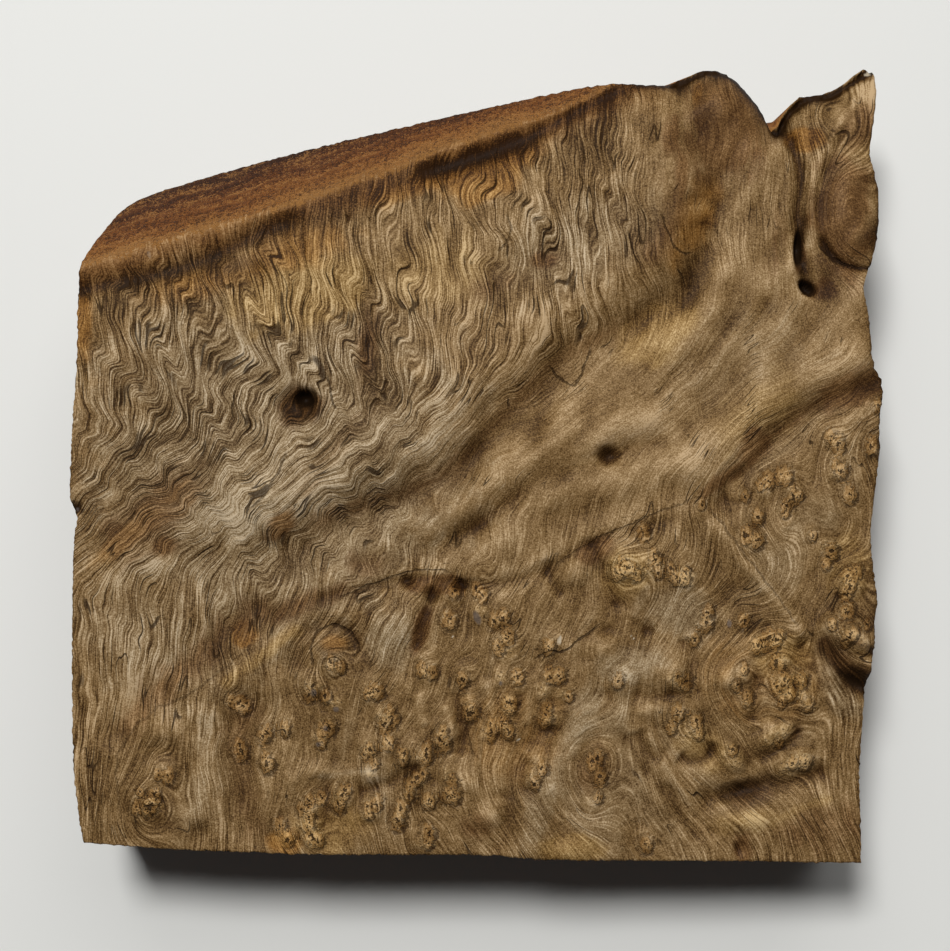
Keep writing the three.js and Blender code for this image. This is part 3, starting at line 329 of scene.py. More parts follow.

# Lighter places on the skin, and darker ones where the strength is below zero: ellipses as above.
# They are partly the wood's own tone and partly painted light and shade of the folds, grooves
# and hollows; the darker ones along the slanting cut's crease are painted shade.
SHADES = [
    (-9, 40, 15, 9, 20, 0.1), (62, 22, 20, 10, 30, 0.08), (78, 34, 8, 6, 0, 0.1),
    (-49, -10, 14, 6, 15, 0.24), (-35, -3, 7, 5, 40, 0.16), (40, 5, 14, 12, 60, 0.17),
    (26, 22, 10, 8, 50, 0.19), (46, -5, 9, 4, 10, 0.2), (5, 3, 5, 5, 0, 0.13), (60, 5, 6, 5, 30, 0.13),
    (0, 29, 12, 6, 0, 0.13), (-45, 29, 9, 7, 40, 0.14), (2, 50, 9, 8, 0, 0.13), (26, 38, 4, 6, 0, 0.15),
    (-75, -51, 5, 8, -40, 0.26), (62, 40, 6, 5, 0, 0.14), (-87, -46, 3, 6, 0, 0.2),
    (-84, -26, 6, 8, 0, 0.15), (-40, 40, 4, 6, 0, 0.15), (64, -78, 8, 3, 20, 0.17),
    (54, 66, 5, 9, -30, 0.14), (50, 24, 10, 6, 30, 0.1), (0, -18, 5, 4, 0, 0.14),
    (17, -18, 6, 4, 0, 0.14), (82, 69, 4, 3, 0, 0.25), (86, 60, 3, 5, 0, 0.2), (80, 30, 6, 5, 0, 0.13),
    (-51, -61, 4, 6, 0, 0.13), (-66, -25, 6, 5, 0, 0.08), (-15, 55, 4, 4, 0, 0.12), (42, 47, 4, 4, 0, 0.1),
    (33, 60, 3, 4, 0, 0.1), (80, -78, 5, 5, 0, 0.12), (42, -40, 4, 4, 0, 0.08), (-46, -81, 4, 3, 0, 0.1),
    (-66, 38, 20, 5, 15, -0.2), (-87, 38, 4, 6, 0, -0.2), (-36, 54, 7, 6, 0, -0.22),
    (-20, 62, 20, 4, 17, -0.22), (3, 67, 14, 5, 17, -0.26), (24, 75, 7, 9, 0, -0.28),
    (76, 76, 8, 7, 20, -0.34), (75, 61, 3.5, 9, 0, -0.12), (77, 45, 4, 4, 0, -0.15),
    (53, 79, 8, 7, 0, -0.16), (64, 68, 3, 4, 0, -0.18), (-60, 8, 8, 7, 0, -0.15),
    (-85, -9, 4, 3, 0, -0.15), (-86, 24, 4, 4, 0, -0.12), (-15, 45, 6, 4, -30, -0.14),
    (-21, 25, 3, 5, 0, -0.12), (-20, -31, 14, 5, 0, -0.12), (-30, -42, 12, 4, 0, -0.08),
    (12, -76, 4, 6, 0, -0.16), (32, -66, 7, 8, 0, -0.16), (40, -75, 5, 6, 0, -0.14),
    (60, -55, 8, 8, 0, -0.08), (82, -50, 6, 6, 0, -0.22), (84, -28, 4, 12, 0, -0.12),
    (66, 14, 8, 3, 30, -0.12), (48, -16, 3, 6, 20, -0.12), (26, -7, 5, 2.5, 20, -0.12),
    (-65, -79, 6, 3, 0, -0.14), (-60, -50, 5, 3, 0, -0.12), (-36, -21, 6, 3, 20, -0.1),
    (76, 39, 3, 3, 0, -0.1), (45, 38, 3, 6, 0, -0.1),
]

# Long stains on the skin, with painted shade among the rust and umber ones: path, half width,
# strength.
STREAKS = {
    "gold": [
        ([(-37, -34), (-47, -41), (-57, -49)], 2, 0.6),
        ([(62, -80), (70, -76), (80, -73)], 1.6, 0.5),
    ],
    "silver": [
        ([(50, -9), (58, -20.5), (66, -29.5), (72, -37.5)], 1.3, 0.25),
        ([(36, -22), (35.5, -28), (34, -34)], 2, 0.45),
        ([(26, -49), (21.5, -57), (18, -64), (14.5, -73), (10, -86)], 2.6, 0.5),
        ([(-37, -34), (-47, -41), (-57, -49), (-66, -55.5)], 2.6, 0.4),
        ([(-59, -51), (-59.5, -58), (-59.5, -66), (-62, -79)], 3, 0.45),
        ([(-36, -68.5), (-29, -67), (-21, -66)], 1.2, 0.5),
    ],
    "amber": [
        ([(-28, 57), (-14, 61), (-2, 64), (8, 67)], 3, 0.7),
    ],
    # Red-brown wood, partly painted shade on the low sides of folds and in grooves.
    "rust_and_shade": [
        ([(-44, -17.5), (-30, -10.5), (-12, -4), (0, 4), (8, 13.5), (18, 23), (29, 29.5), (38, 35)],
         3.2, 0.45),
        ([(-80, -63), (-76, -56), (-70, -49), (-64, -44.5), (-57, -39), (-49, -32.5), (-40, -30)],
         4.4, 0.55),
        ([(-48, -48), (-51, -56), (-52, -66), (-50, -76), (-46, -84)], 5, 0.45),
        ([(46, 76), (44.5, 62), (42, 52), (35, 42)], 4, 0.6),
        ([(78, 16.5), (70, 11), (63, 6), (57, -3)], 2.2, 0.5),
        ([(-16, -25), (-9, -27), (-2, -26)], 2, 0.8),
    ],
    # Mostly painted shade, along the trough, grooves, the folds at the right, the slanting cut's crease and
    # the crevice.
    "umber_and_shade": [
        ([(54, -72), (60, -70), (66, -66), (70, -62)], 2.2, 0.35),
        ([(62, -64.8), (67, -61.5), (72.5, -57.2)], 1.8, 0.45),
        ([(44, -63.6), (47, -64.8), (50.5, -63.5), (51.6, -60.5)], 1.6, 0.4),
        ([(74, -37), (79, -42), (84, -46), (89, -48)], 3, 0.75),
        ([(80, -37.5), (84, -39.2), (89, -40.8)], 1.4, 0.5),
        ([(-14, 62.5), (-6, 65.3), (2, 67.8), (10, 70.8), (18, 75.3), (26, 79.6), (33, 83.2)], 2.4, 0.7),
        ([(-92, 36.5), (-84, 39), (-74, 41), (-63, 43.5), (-53, 48), (-44, 52), (-36, 54)], 2.4, 0.55),
        ([(70.5, 52), (70.3, 46), (72.3, 39)], 1.1, 0.5),
        ([(75, 48.6), (77.5, 45.6), (81, 43.9), (85, 43.2)], 0.5, 0.8),
        ([(-3.2, -50), (-3, -57), (-4, -64)], 1.6, 0.3),
        ([(8.6, -64), (7, -71), (6.4, -79)], 2.4, 0.25),
        ([(24, -14.5), (26, -20), (28.5, -26)], 1.6, 0.3),
    ],
}

# Where the wood is burl, all bud lobes, and where it is smooth and pale: ellipses as above.
BURL_AREA = [(20, -58, 66, 36, 0, 1), (72, -14, 22, 24, 0, 1), (-30, -66, 30, 24, 0, 0.9)]
SMOOTH_AREA = [
    (14, 0, 54, 17, 24, 1), (64, 32, 28, 24, 0, 1), (51, 69, 22, 18, 60, 1), (34, 24, 26, 12, 40, 0.9),
    (81, 55, 13, 9, 90, 0.9), (-62, -70, 26, 16, 60, 0.35),
]

# Cracks and dark lines: path, strength.
CRACK_REACH = 2.0
CRACK_WOBBLE = 0.45
CRACKS = [
    ([(-52.8, 16.3), (-53.5, 10)], 0.8), ([(-41, 3.5), (-45.3, -5.3), (-49.7, -9.7)], 0.7),
    ([(-32.8, 20), (-30.8, 11.9)], 0.8), ([(6.4, 55.2), (7, 49.7), (4.2, 46.4)], 0.6),
    ([(21.8, 65), (23.5, 59.6)], 0.6), ([(39.4, 55.2), (43, 47.5), (47, 46.4)], 0.8),
    ([(15.2, 22.2), (21, 17.4), (25, 26.6)], 0.8), ([(6.4, 15), (6.8, 12.4)], 0.8),
    ([(-32, -29.5), (-14.5, -22.9), (-4.6, -23.3)], 0.6),
    ([(15.2, -22.9), (27.3, -15.2), (49.3, -6.4)], 0.5),
    ([(11.9, -42.5), (16.3, -40), (18, -40.7), (22.2, -38), (26.8, -34.3)], 0.9),
    ([(-3.7, -52), (-0.7, -64)], 0.5), ([(74.6, 49), (76.8, 46.4), (80.2, 44.4), (84, 43.5)], 1),
    ([(-36, -45), (-36, -37.5), (-31, -34.5), (-26, -38), (-27, -43)], 0.8),
    ([(50, -8), (58, -19), (66, -29), (71, -37)], 0.5),
    ([(-78, -79), (-79, -64), (-71.5, -54), (-62, -49.3), (-48.6, -38.7)], 0.4),
]


def smooth(t):
    t = np.clip(t, 0, 1)
    return t * t * (3 - 2 * t)


def mix(a, b, t):
    return a + (b - a) * t


def heading(turn):
    """The cosine and sine of a turn in degrees."""
    return math.cos(math.radians(turn)), math.sin(math.radians(turn))


def scatter_at(i, j, k=0):
    """A number from 0 to 1 that looks random, for each corner of a grid."""
    s = np.sin(i * 127.1 + j * 311.7 + k * 74.7) * 43758.5453
    return s - np.floor(s)


def slope_at(i, j, x, y):
    turn = 2 * np.pi * scatter_at(i, j)
    return 1.4 * ((x - i) * np.cos(turn) + (y - j) * np.sin(turn))


def noise(x, y):
    """Smooth noise from about -1 to 1, the same as the solid's."""
    i = np.floor(x)
    j = np.floor(y)
    u = smooth(x - i)
    near = mix(slope_at(i, j, x, y), slope_at(i + 1, j, x, y), u)
    far = mix(slope_at(i, j + 1, x, y), slope_at(i + 1, j + 1, x, y), u)
    return mix(near, far, smooth(y - j))


def noise3(x, y, z):
    """Smooth noise of three numbers, from -1 to 1."""
    i = np.floor(x)
    j = np.floor(y)
    k = np.floor(z)
    u = smooth(x - i)
    v = smooth(y - j)

    def layer(k):
        near = mix(scatter_at(i, j, k), scatter_at(i + 1, j, k), u)
        far = mix(scatter_at(i, j + 1, k), scatter_at(i + 1, j + 1, k), u)
        return mix(near, far, v)

    return 2 * mix(layer(k), layer(k + 1), smooth(z - k)) - 1


def layered(x, y, layers):
    """Noise of several sizes, added up: each layer is its height, its wavelength and its shift."""
    return sum(size * noise(x / wave + right, y / wave + up) for size, wave, right, up in layers)


def rounded(path, steps=4):
    """A path rounded off into a smooth curve, as short straight steps."""
    points = [np.array(p, float) for p in path]
    curve = []
    for k in range(steps * (len(points) - 1) + 1):
        i = min(k // steps, len(points) - 1)
        w = k / steps - i
        a = points[max(i - 1, 0)]
        b = points[i]
        c = points[min(i + 1, len(points) - 1)]
        d = points[min(i + 2, len(points) - 1)]
        lean_in = (c - a) / 2
        lean_out = (d - b) / 2
        cube = (2 * b - 2 * c + lean_in + lean_out) * w**3
        curve.append(cube + (3 * c - 3 * b - 2 * lean_in - lean_out) * w**2 + lean_in * w + b)
    return np.array(curve)


def along_path(path, x, y, reach):
    """Where the points within reach of a path lie: (their numbers, how far off, side, taper).

    The taper is 0 at both ends of the path and 1 between them.
    """
    path = rounded(path)
    low = path.min(0) - reach
    high = path.max(0) + reach
    near = np.nonzero((x > low[0]) & (x < high[0]) & (y > low[1]) & (y < high[1]))[0]
    x = x[near]
    y = y[near]
    runs = np.diff(path, axis=0)
    lengths = np.hypot(runs[:, 0], runs[:, 1])
    off = np.full(x.shape, 1e9)
    side = np.ones(x.shape)
    share = np.zeros(x.shape)
    behind = 0
    for (ax, ay), run, length in zip(path[:-1], runs, lengths):
        dx, dy = run / length
        got = np.clip((x - ax) * dx + (y - ay) * dy, 0, length)
        far = np.hypot(x - ax - dx * got, y - ay - dy * got)
        closer = far < off
        off = np.where(closer, far, off)
        side = np.where(closer, np.where((x - ax) * dy - (y - ay) * dx > 0, 1.0, -1.0), side)
        share = np.where(closer, (behind + got) / lengths.sum(), share)
        behind += length
    return near, off, side, smooth(share / TAPER) * smooth((1 - share) / TAPER)


def ellipse(x, y, middle_x, middle_y, length, width, turn):
    """0 in the middle of an ellipse and 1 on its edge."""
    c, s = heading(turn)
    dx = x - middle_x
    dy = y - middle_y
    return np.hypot((dx * c + dy * s) / length, (dy * c - dx * s) / width)


def patches(x, y, spots, wander=0.0):
    """How strongly soft-edged ellipses cover each point, from 0 to 1."""
    cover = np.zeros(x.shape)
    ragged = wander * layered(x, y, WANDER)
    for *area, strength in spots:
        r = ellipse(x, y, *area) + ragged
        cover = np.maximum(cover, strength * np.exp(-np.clip(r, 0, 9) ** 3))
    return cover


def streaks(x, y, lines):
    """How strongly soft-edged lines cover each point, from 0 to 1."""
    cover = np.zeros(x.shape)
    for path, width, strength in lines:
        near, off, _, taper = along_path(path, x, y, STREAK_REACH * width)
        ragged = 1 + layered(x[near], y[near], STREAK_EDGE)
        line = strength * np.exp(-((off / (width * ragged)) ** 2)) * taper
        cover[near] = np.maximum(cover[near], line)
    return cover


def lobes_at(x, y):
    """How high the lobes stand: each swells towards its tip and ends in a round nose."""
    total = np.zeros(x.shape)
    for tip_x, tip_y, length, width, turn, height, _ in LOBES:
        c, s = heading(turn)
        near = np.nonzero(np.hypot(x - tip_x, y - tip_y) < length + width)[0]
        px = x[near]
        py = y[near]
        behind = ((tip_x - px) * c + (tip_y - py) * s) / length
        aside = ((px - tip_x) * s - (py - tip_y) * c) / (LOBE_HALF * width)
        nose = np.where(behind < NOSE, (NOSE - behind) / NOSE, 0)
        r = np.minimum(np.hypot(aside, nose), 1)
        swell = 1 - smooth((behind - NOSE) / (1 - NOSE))
        total[near] += (LOBE_RISE * height * swell * (1 - r**2) ** 1.3) ** 3
    return np.cbrt(total)


def bud_eyes():
    """Every bud eye, drawn on its lobe from one seeded run of numbers: x, y, radius, height."""
    state = EYE_SEED
    eyes = []

    def draw():
        nonlocal state
        state = (state * DRAW_FACTOR + DRAW_STEP) % DRAW_RANGE
        return state / DRAW_RANGE

    for tip_x, tip_y, length, width, turn, _, count in LOBES:
        c, s = heading(turn)
        for _ in range(count):
            back = length * (EYED_FROM + EYED * draw())
            aside = width * EYED_WIDTH * (draw() - 0.5)
            radius = mix(*EYE_RADIUS, draw())
            height = mix(*EYE_HEIGHT, draw())
            eyes.append((tip_x - back * c + aside * s, tip_y - back * s - aside * c, radius, height))
    return np.array(eyes)


EYES = bud_eyes()


def nearest_eye(x, y):
    """The nearest bud eye of each point: (offset x, offset y, radius, height)."""
    best = np.full(x.shape, 1e9)
    nearest = np.zeros(x.shape, int)
    for k, (eye_x, eye_y, _, _) in enumerate(EYES):
        far = np.hypot(x - eye_x, y - eye_y)
        closer = far < best
        best[closer] = far[closer]
        nearest[closer] = k
    eye = EYES[nearest]
    return x - eye[:, 0], y - eye[:, 1], eye[:, 2], eye[:, 3]


def eyes_at(x, y):
    """Each eye is a low ring round a pit."""
    dx, dy, radius, height = nearest_eye(x, y)
    off = np.hypot(dx, EYE_NARROWING * dy) + EYE_ROUGHNESS * radius * noise(x / 0.9, y / 0.9)
    r = np.clip(off / (radius * EYE_SPREAD), 0, 1)
    ring = RING_RISE * height * (1 - r**2) ** 2
    return ring - PIT_DEPTH * np.exp(-((off / (PIT_WIDTH * radius)) ** 2))


def slant_at(x, y):
    """The height of the slanting cut's plane."""
    a, b, c = [np.array(p, float) for p in SLANT_CUT]
    normal = np.cross(b - a, c - a)
    return a[2] - (normal[0] * (x - a[0]) + normal[1] * (y - a[1])) / normal[2]


def curl_share(x, y):
    """How strongly the grain is curled at each point, from 0 to 1."""
    share = np.zeros(x.shape)
    for *area, strength in CURLED:
        share = np.maximum(share, strength * np.exp(-(ellipse(x, y, *area) ** 4)))
    return share


def plain_grain(x, y):
    """The grain before the lobes part it. Its lines run where this number stays the same."""
    wx = x + layered(x, y, [(*warp, *WARP_RIGHT) for warp in GRAIN_WARPS])
    wy = y + layered(x, y, [(*warp, *WARP_BACK) for warp in GRAIN_WARPS])
    over = wy - (BAND_MIDDLE + BAND_SLOPE * wx)
    grain = wx - BAND_SHEAR * smooth((over + BAND_HALF) / (2 * BAND_HALF))
    for *area, lean, still in LEANS:
        grain = grain + np.exp(-(ellipse(x, y, *area, 0) ** 2)) * lean * (wy - still)
    run = wx * CURL_RUN[0] + wy * CURL_RUN[1] + 5 * noise(x / 22 + 2, y / 22 + 6)
    share = curl_share(x, y) * (0.2 + 1.1 * smooth(0.6 + 0.9 * noise(x / 14 + 4, y / 14)))
    turn = 2 * np.pi * run / CURL_WAVE
    bends = 2 * np.sin(turn) + 0.38 * np.sin(3 * turn + 0.4)
    ripples = (0.08 + 0.12 * share) * np.sin(2 * np.pi * run / RIPPLE_WAVE + 4 * noise(x / 12, y / 12 + 5))
    return grain + share * bends + ripples


def pulled(grain, x, y, area, pull, value):
    """The grain, drawn towards one value round a place, so that its lines close round it."""
    share = pull * np.exp(-(ellipse(x, y, *area) ** 2))
    return grain * (1 - share) + value * share


def eddied(x, y):
    """The grain, flowing round its eddies."""
    grain = plain_grain(x, y)
    middles = np.array([eddy[:2] for eddy in EDDIES], float)
    for (*area, hold), value in zip(EDDIES, plain_grain(*middles.T)):
        grain = pulled(grain, x, y, area, 1, value + hold)
    return grain


def grain_at(x, y):
    """The grain, flowing round its eddies and the lobes."""
    grain = eddied(x, y)
    middles = []
    for tip_x, tip_y, length, _, turn, _, _ in LOBES:
        c, s = heading(turn)
        middles.append((tip_x - LOBE_MIDDLE * length * c, tip_y - LOBE_MIDDLE * length * s))
    middles = np.array(middles)
    for (_, _, length, width, turn, _, _), at, value in zip(LOBES, middles, eddied(*middles.T)):
        near = np.nonzero(np.hypot(x - at[0], y - at[1]) < 1.6 * length)[0]
        area = (*at, LOBE_FLOW[0] * length, LOBE_FLOW[1] * width, turn)
        held = value + LOBE_GRAIN * width
        grain[near] = pulled(grain[near], x[near], y[near], area, LOBE_PULL, held)
    return grain


def drape_at(x, y):
    """Soft slanting waves."""
    across = 0.8 * x - 0.6 * y + 2 * noise(x / 14 + 1, y / 14)
    along = 0.6 * x + 0.8 * y
    return sum(height * noise(across / wide, along / long) for height, wide, long in DRAPE)


def uncut_skin(x, y, grain):
    """The height of the burl's own skin, as if the slanting cut hadn't been made."""
    z = CROWN - FALL_TO_SIDES * (x / (WIDTH / 2)) ** 2 - FALL_TO_ENDS * (y / (DEPTH / 2)) ** 2
    z = z + LEAN_X * x + LEAN_Y * y + layered(x, y, UNEVEN)
    for path, height, width in FOLDS:
        near, off, side, taper = along_path(path, x, y, FOLD_REACH * width)
        spread = np.where(side < 0, FOLD_BACK, 1)
        s = side * off / (width * spread)
        z[near] -= height * spread * s * np.exp(0.5 - s * s / 2) * taper
    for path, depth, width in GROOVES:
        near, off, _, taper = along_path(path, x, y, GROOVE_REACH * width)
        z[near] -= depth * np.exp(-((off / width) ** 2)) * taper
    for *area, height in SWELLINGS.values():
        z = z + height * (1 - np.minimum(ellipse(x, y, *area), 1) ** 2) ** 2
    curl = curl_share(x, y)
    burl = patches(x, y, BURL_AREA)
    for in_curl, in_burl, elsewhere, width in GRAIN_RIDGES:
        depth = mix(mix(elsewhere, in_burl, burl), in_curl, curl)
        length = RIDGE_LENGTH * width
        z = z + depth * noise3(grain / width, x / length, y / length)
    _, off, _, _ = along_path(ROLLED_EDGE, x, y, 1000)
    inside = np.clip(off / ROLL_WIDTH, 0, 1)
    z = z - ROLL_DROP * (1 - np.sqrt(1 - (1 - inside) ** 2))
    lobe = lobes_at(x, y)
    return (z + lobe + eyes_at(x, y) + layered(x, y, CRUMPLE) * smooth(lobe)
            + layered(x, y, LUMPS) * burl + drape_at(x, y) * patches(x, y, SMOOTH_AREA))


# The piece: a copy of the solid, cut finer, with the fine relief raised on its skin.
NEAR_SKIN = 4.0
SKIN_CUTS = 3
# The saw's marks on the slanting cut, and the torn rim of the skin, which stands out squarely.
SAW_MARKS = 0.07
SAW_WAVE = 30
TORN_RIM = [(0.22, 1.3, 4, 0), (0.176, 0.6, 0, 7)]
SQUARENESS = 7
# How often heights are averaged, to tell fine and broad hollows from the shape under them.
FINE_ROUNDS = 8
BROAD_ROUNDS = 60
# Blotches of the wood's tone.
MOTTLE = [(0.34, 12, 2, 5), (0.18, 5.2, 2, 5), (0.11, 2.6, 2, 5), (0.09, 1.3, 2, 5)]
SKIN_INDEX = 0
SAWN_INDEX = 1


def read(parts, name, each=1, kind=int):
    """What each vertex, edge, corner or face of a mesh holds under a name."""
    values = np.zeros(len(parts) * each, kind)
    parts.foreach_get(name, values)
    return values


def mesh_points(mesh):
    """Every vertex, in millimetres."""
    return read(mesh.vertices, "co", 3, float).reshape(-1, 3) / MM


def face_corners(mesh):
    """The vertex numbers of every triangle."""
    return read(mesh.loops, "vertex_index").reshape(-1, 3)


def corners_of_kind(mesh, kind):
    """Which vertices are corners of the faces of one finish."""
    chosen = np.zeros(len(mesh.vertices), bool)
    chosen[face_corners(mesh)[read(mesh.polygons, "material_index") == kind].ravel()] = True
    return chosen


def make_blank():
    """The solid's own mesh with its two finishes, and with the skin's faces cut finer."""
    bpy.ops.object.select_all(action="DESELECT")
    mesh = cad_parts["burl_blank"].data.copy()
    mesh.name = "burl_blank_wood"
    mesh.materials.clear()
    mesh.materials.append(finish_skin())
    mesh.materials.append(finish_sawn())
    piece = bpy.data.objects.new("burl_blank_wood", mesh)
    bpy.context.scene.collection.objects.link(piece)
    bpy.context.view_layer.objects.active = piece
    piece.select_set(True)
    bpy.ops.object.mode_set(mode="EDIT")
    bpy.ops.mesh.select_all(action="SELECT")
    bpy.ops.mesh.remove_doubles(threshold=1e-6)
    bpy.ops.object.mode_set(mode="OBJECT")

    # The skin's faces lie on the skin with all their corners, and those that touch it are cut finer.
    x, y, z = mesh_points(mesh).T
    top = np.minimum(uncut_skin(x, y, grain_at(x, y)), slant_at(x, y))
    on_skin = (np.abs(z - top) < NEAR_SKIN)[face_corners(mesh)]
    mesh.polygons.foreach_set("material_index", np.where(on_skin.all(1), SKIN_INDEX, SAWN_INDEX))
    mesh.vertices.foreach_set("select", np.zeros(len(mesh.vertices), bool))
    mesh.edges.foreach_set("select", np.zeros(len(mesh.edges), bool))
    mesh.polygons.foreach_set("select", on_skin.any(1))
    bpy.ops.object.mode_set(mode="EDIT")
    bpy.ops.mesh.subdivide(number_cuts=SKIN_CUTS)
    bpy.ops.mesh.select_all(action="SELECT")
    bpy.ops.mesh.quads_convert_to_tris(quad_method="BEAUTY", ngon_method="BEAUTY")
    bpy.ops.object.mode_set(mode="OBJECT")
    return piece


def neighbour_mean(mesh, values, chosen, rounds):
    """The chosen points' values, averaged with their chosen neighbours' again and again."""
    edges = read(mesh.edges, "vertices", 2).reshape(-1, 2)
    a, b = edges[chosen[edges].all(1)].T
    count = np.bincount(a, minlength=len(values)) + np.bincount(b, minlength=len(values))
    count = np.maximum(count, 1)
    for _ in range(rounds):
        total = np.bincount(a, values[b], len(values)) + np.bincount(b, values[a], len(values))
        values = 0.5 * values + 0.5 * total / count
    return values


def crack_marks(x, y):
    """How far each point is from the nearest drawn crack, and how strong that crack is."""
    crack_off = np.full(x.shape, CRACK_REACH)
    crack_on = np.zeros(x.shape)
    for path, strength in CRACKS:
        near, off, side, taper = along_path(path, x, y, CRACK_REACH)
        closer = off < np.abs(crack_off[near])
        wobble = CRACK_WOBBLE * noise(x[near] / 2.3, y[near] / 2.3 + 12)
        crack_off[near[closer]] = (side * off + wobble)[closer]
        crack_on[near[closer]] = (strength * taper)[closer]
    crack_on = np.where(np.abs(crack_off) < 0.8 * CRACK_REACH, crack_on, 0)
    return {"crack_off": crack_off, "crack_on": crack_on}


def tone_marks(x, y, grain, relief, broad_relief):
    """What lightens, darkens, draws and parts the fibres at each point."""
    curl = curl_share(x, y)
    burl = patches(x, y, BURL_AREA, 0.15)
    smooth_wood = patches(x, y, SMOOTH_AREA, 0.2)
    lobe = lobes_at(x, y)
    plain = np.maximum(smooth_wood, burl)
    coarse = 1 - 0.7 * plain
    mottle = layered(x, y, MOTTLE)
    shade = 0.5 * noise3(grain / 5, x / 24, y / 24) + 0.3 * noise3(grain / 2.4, x / 12, y / 12)
    lighter = patches(x, y, [spot for spot in SHADES if spot[5] > 0], RAGGED_STAIN)
    darker = patches(x, y, [(*spot[:5], -spot[5]) for spot in SHADES if spot[5] < 0], RAGGED_STAIN)
    split = noise(x / 6.3 + 8, y / 6.3 + 1) + 0.1 * curl - 0.25 * plain
    # Raised places are painted lighter and hollows darker, and so are the crests and troughs of the
    # soft waves: painted light and shade, added to the lighter and darker spots.
    tone = 0.5 + 1.12 * (lighter - darker) + 0.35 * mottle + 0.26 * shade * coarse
    tone = tone + 0.55 * relief + 0.24 * broad_relief + DRAPE_LIGHT_AND_SHADE * drape_at(x, y) * smooth_wood
    return {
        "tone": tone, "mottle": mottle, "coarse": coarse, "lobe": lobe,
        "lines": 0.8 + 0.22 * curl + 0.85 * mottle - 0.58 * plain,
        "shine": 0.5 * burl,
        # How deep each point lies in a hollow, for the painted shade in the dips.
        "dip_shade": -1.8 * relief - 0.7 * broad_relief,
        "flow": 0.6 * burl * smooth((shade - 0.6 * lobe + 0.1) / 0.6),
        "seams": smooth((split - 0.05) / 0.4),
        "seam_width": 0.035 + 0.07 * curl,
    }


def raise_skin(piece):
    """Puts the fine relief on the skin, and writes what the finish reads at every point."""
    mesh = piece.data
    x, y, z = mesh_points(mesh).T.copy()
    grain = grain_at(x, y)
    uncut = uncut_skin(x, y, grain)
    cut = slant_at(x, y)
    on_skin = corners_of_kind(mesh, SKIN_INDEX)
    on_rim = on_skin & corners_of_kind(mesh, SAWN_INDEX)
    saw_marks = SAW_MARKS * noise3(uncut - cut, x / SAW_WAVE, y / SAW_WAVE)
    cut_skin = np.minimum(uncut, cut + saw_marks)
    z = np.where(on_skin, cut_skin, z)
    out_x = (x / (WIDTH / 2)) ** SQUARENESS
    out_y = (y / (DEPTH / 2)) ** SQUARENESS
    torn = layered(x, y, TORN_RIM) * on_rim / np.maximum(np.hypot(out_x, out_y), 1e-3)
    points = np.stack([x + torn * out_x, y + torn * out_y, z], 1)
    mesh.vertices.foreach_set("co", (points * MM).ravel())
    mesh.update()

    fine = neighbour_mean(mesh, z, on_skin, FINE_ROUNDS)
    broad = neighbour_mean(mesh, fine, on_skin, BROAD_ROUNDS)
    relief = np.where(on_skin, z - fine, 0)
    broad_relief = np.where(on_skin, fine - broad, 0)
    dx, dy, radius, _ = nearest_eye(x, y)
    marks = {
        "grain": grain, "under_skin": uncut - z, "over_cut": cut - uncut,
        "eye_x": dx / radius, "eye_y": dy / radius, "eye_off": np.hypot(dx, dy) / radius,
    }
    marks.update(tone_marks(x, y, grain, relief, broad_relief))
    marks.update(crack_marks(x, y))
    for name, spots in STAINS_AND_SHADE.items():
        stain_and_shade = patches(x, y, spots, RAGGED_STAIN)
        marks[name] = np.maximum(stain_and_shade, streaks(x, y, STREAKS.get(name, [])))
    for name, values in marks.items():
        mark = mesh.attributes.new(name, "FLOAT", "POINT")
        mark.data.foreach_set("value", np.ascontiguousarray(values, dtype=np.float32))


def srgb(red, green, blue):
    """A colour as a screen shows it, 0 to 255, as the linear colour that a shader takes."""
    def linear(v):
        v = v / 255
        return v / 12.92 if v <= 0.04045 else ((v + 0.055) / 1.055) ** 2.4
    return (linear(red), linear(green), linear(blue), 1)


class Number:
    """A number that a finish works out at every point of a surface."""

    def __init__(self, finish, socket):
        self.finish = finish
        self.socket = socket

    def __add__(self, other):
        return self.finish.calc("ADD", self, other)

    def __sub__(self, other):
        return self.finish.calc("SUBTRACT", self, other)

    def __rsub__(self, other):
        return self.finish.calc("SUBTRACT", other, self)

    def __mul__(self, other):
        return self.finish.calc("MULTIPLY", self, other)

    def __truediv__(self, other):
        return self.finish.calc("DIVIDE", self, other)

    def __abs__(self):
        return self.finish.calc("ABSOLUTE", self)

    __radd__ = __add__
    __rmul__ = __mul__

    def at_least(self, other):
        return self.finish.calc("MAXIMUM", self, other)

    def at_most(self, other):
        return self.finish.calc("MINIMUM", self, other)

    def step(self, low, high, to_low=0.0, to_high=1.0):
        """Smoothly from to_low at low to to_high at high."""
        inputs = dict(enumerate((self, low, high, to_low, to_high)))
        node = self.finish.node("MapRange", inputs, interpolation_type="SMOOTHSTEP")
        return Number(self.finish, node.outputs[0])


